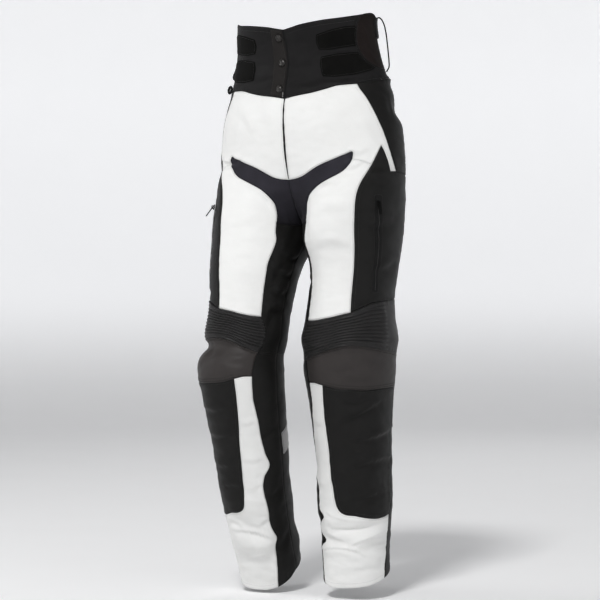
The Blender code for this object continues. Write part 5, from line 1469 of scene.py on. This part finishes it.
# Calf strips and hems
# A white strip runs down inside each shin and widens into the hem, which is turned up and stitched.
# The cloth has stacked in soft folds round the ankles.
SEAMS.update({
    "hem_side": [(0.485, 0.030), (0.495, 0.090), (0.500, 0.160)],
    "hem_front": [(0.129, 0.024), (0.200, 0.022), (0.300, 0.023), (0.400, 0.025), (0.485, 0.030)],
    "strip_edge": {
        LEFT: [
            (0.129, 0.024), (0.112, 0.064), (0.104, 0.100), (0.135, 0.113), (0.092, 0.130), (0.108, 0.150),
            (0.150, 0.163), (0.118, 0.176), (0.116, 0.195), (0.117, 0.216), (0.103, 0.236), (0.071, 0.258),
            (0.086, 0.280), (0.099, 0.312), (0.107, 0.354), (0.116, 0.393), (0.115, 0.437),
        ],
        RIGHT: [
            (0.129, 0.024), (0.118, 0.064), (0.108, 0.095), (0.104, 0.112), (0.088, 0.125), (0.096, 0.133),
            (0.105, 0.142), (0.108, 0.152), (0.108, 0.172), (0.116, 0.195), (0.117, 0.216), (0.103, 0.236),
            (0.071, 0.257), (0.086, 0.280), (0.099, 0.312), (0.107, 0.354), (0.116, 0.393), (0.115, 0.437),
        ],
    },
})
STRIP_SEAMS = "hem_front hem_side -shin_edge -knee_bottom_inner -strip_edge"
HEM_DEEP = 0.0095
strip_rows = []
for side in (LEFT, RIGHT):
    panel = sewn("calf_strip_hem", side, STRIP_SEAMS, 0.0026, white_cloth, "white_cloth")
    strip_rows.append(row(panel, "hem_front", HEM_DEEP))
    strip_rows += rows_along(panel, WHITE_ROW, "-shin_edge -strip_edge -knee_bottom_inner")
stitch("strip_stitches", strip_rows, thread_white)


# Inner legs
# Plain black panels inside the thighs and calves, joined at the inseam and at the back of the knee.
SEAMS.update({
    "calf_seam_front": [(0, 0.485), (0.050, 0.483), (0.102, 0.484)],
    "inseam_top": [(0, 0.485), (0, FORK_HEIGHT - FORK_BELOW)],
    "inseam_low": [(0, 0.045), (0, 0.485)],
    "hem_inner": [(0, 0.045), (0.052, 0.033), (0.129, 0.024)],
})
INNER_THIGH_SEAMS = "calf_seam_front rib_inner thigh_inner -fork_seam -inseam_top"
INNER_CALF_SEAMS = "hem_inner strip_edge knee_inner -calf_seam_front -inseam_low"
inner_rows = []
for side in (LEFT, RIGHT):
    thigh = sewn("inner_thigh", side, INNER_THIGH_SEAMS, 0.0046, black_cloth, "black_cloth", edge=FLAT_EDGE)
    calf = sewn("inner_calf", side, INNER_CALF_SEAMS, 0.0046, black_cloth, "black_cloth", edge=FLAT_EDGE)
    inner_rows += [row(thigh, "calf_seam_front", BLACK_ROW), row(calf, "hem_inner", HEM_DEEP)]
    inner_rows += [row(thigh, "-inseam_top", BLACK_ROW), row(calf, "-inseam_low", BLACK_ROW)]
stitch("inner_leg_stitches", inner_rows, thread_black)


# Backs
# The seat with the backs of the thighs, and the calves below the knee seam, all plain black cloth that
# has gathered in folds behind the knees. A trapezoid of grey reflective film is bonded on each calf.
SEAMS.update({
    "calf_seam_back": [(0.560, 0.494), (0.75, 0.488), (1, 0.485)],
    "inseam_top_back": [(1, 0.485), (1, FORK_HEIGHT - FORK_BELOW)],
    "inseam_low_back": [(1, 0.045), (1, 0.485)],
    "back_seat": [(1, FORK_HEIGHT + FORK_ABOVE), (1, 1.078)],
    "hem_back": [(0.485, 0.030), (0.60, 0.040), (0.75, 0.052), (0.90, 0.052), (1, 0.045)],
})
BACK_UPPER_SEAMS = (
    "calf_seam_back inseam_top_back back_seat -belt_seam_back -hip_side_back -thigh_side_back -rib_outer"
)
BACK_CALF_SEAMS = "hem_back inseam_low_back -calf_seam_back -knee_outer -shin_outer -hem_side"
REFLECTIVE_PATCH = [
    (0.830, 0.296), (0.900, 0.281), (0.990, 0.269), (0.990, 0.315), (0.900, 0.329), (0.830, 0.341),
]
PATCH = 0.0008
BACK_ROW, BACK_STEP = 0.0028, 0.0045
reflective_grey = plain_material("reflective_grey", (0.36, 0.355, 0.355), 0.40, metallic=0.3, grain=2200)
back_form = {"slot": "black_cloth", "edge": FLAT_EDGE, "step": BACK_STEP}
back_rows, patch_rows = [], []
for side in (LEFT, RIGHT):
    upper = sewn("back_upper", side, BACK_UPPER_SEAMS, 0.0062, black_cloth, **back_form)
    calf = sewn("back_calf", side, BACK_CALF_SEAMS, 0.0056, black_cloth, **back_form)
    back_rows += rows_along(upper, BACK_ROW, "back_seat calf_seam_back -hip_side_back -thigh_side_back")
    back_rows += [row(calf, "hem_back", HEM_DEEP), row(calf, "-shin_outer", BACK_ROW)]
    patch = laid_panel(side, calf, REFLECTIVE_PATCH, PATCH, corner=0.0010)
    name = f"calf_patch_{SIDE_NAME[side]}"
    sew_panel(name, patch, 0.0040, reflective_grey, gap=0.0)
    patch_rows.append(ring_row(patch, 0.0022))
stitch("back_stitches", back_rows + patch_rows, thread_black)


# Hip loop
# A short loop of webbing at the wearer's right, its ends sewn into the belt's lower seam.
webbing = plain_material("webbing", (0.007, 0.007, 0.007), 0.85, sheen=0.05, grain=1400, grain_depth=0.0002)
bpy.data.objects["hip_loop_right"].data.materials[0] = webbing


# Studio
# A pale round floor that curves up into a low wall all round, whose material glows with painted light,
# faintly on the floor and more up the wall, and large soft lights in front, at both sides, above and behind.
FLOOR = -1.1125
COVE_FLAT, COVE_CURVE, COVE_TALL, COVE_SIDES = 5.2, 1.8, 2.8, 72
# Painted light: how strongly the floor and the wall glow, and between which heights the glow rises.
FLOOR_GLOW, COVE_GLOW, GLOW_FROM, GLOW_FULL = 0.04, 0.34, 0.02, 0.7
COVE_ARC = 12
cove_line = [(0.0, FLOOR), (COVE_FLAT * 0.5, FLOOR)]
for k in range(COVE_ARC + 1):
    angle = math.pi / 2 * k / COVE_ARC
    cove_line.append((COVE_FLAT + COVE_CURVE * math.sin(angle), FLOOR + COVE_CURVE * (1 - math.cos(angle))))
cove_line.append((COVE_FLAT + COVE_CURVE, FLOOR + COVE_TALL))
cove_points, cove_faces = turned(cove_line, COVE_SIDES, Matrix.Identity(4))
pale = plain_material("pale_floor", (0.89, 0.89, 0.89), 0.9, grain=40, grain_depth=0.0, uneven_dye=0.004)
pale_nodes = pale.node_tree.nodes
place = pale_nodes.new("ShaderNodeTexCoord")
high = pale_nodes.new("ShaderNodeSeparateXYZ")
glow = pale_nodes.new("ShaderNodeMapRange")
glow.interpolation_type = "SMOOTHSTEP"
glow.inputs["From Min"].default_value = FLOOR + GLOW_FROM
glow.inputs["From Max"].default_value = FLOOR + GLOW_FULL
glow.inputs["To Min"].default_value = FLOOR_GLOW
glow.inputs["To Max"].default_value = COVE_GLOW
pale_nodes["Principled BSDF"].inputs["Emission Color"].default_value = (0.96, 0.97, 1.0, 1)
pale.node_tree.links.new(place.outputs["Object"], high.inputs["Vector"])
pale.node_tree.links.new(high.outputs["Z"], glow.inputs["Value"])
pale.node_tree.links.new(glow.outputs["Result"], pale_nodes["Principled BSDF"].inputs["Emission Strength"])
cove = mesh_piece("cove", cove_points, cove_faces[:-1], pale, 80)
Light = namedtuple("Light", "name watts wide place")
LIT_POINT = Vector((0, 0, -0.4))
LIGHTS = [
    Light("key", 236, 1.0, (0.7, -3.8, 4.3)), Light("left", 28, 1.2, (-3.2, -1.6, 1.4)),
    Light("fill", 10, 2.4, (3.6, -1.2, 0.2)), Light("top", 4, 2.2, (0.2, -0.2, 2.6)),
    Light("back", 36, 1.6, (-0.9, 3.9, 2.4)),
]
for light in LIGHTS:
    lamp = bpy.data.lights.new(light.name, "AREA")
    lamp.energy = light.watts
    lamp.size = light.wide
    holder = bpy.data.objects.new(light.name, lamp)
    holder.location = light.place
    holder.rotation_euler = (LIT_POINT - holder.location).to_track_quat("-Z", "Y").to_euler()
    bpy.context.scene.collection.objects.link(holder)
world = bpy.data.worlds.new("studio")
world.use_nodes = True
world.node_tree.nodes["Background"].inputs["Color"].default_value = (0.95, 0.96, 1.0, 1)
world.node_tree.nodes["Background"].inputs["Strength"].default_value = 0.14
bpy.context.scene.world = world
bpy.context.scene.view_settings.view_transform = "Standard"
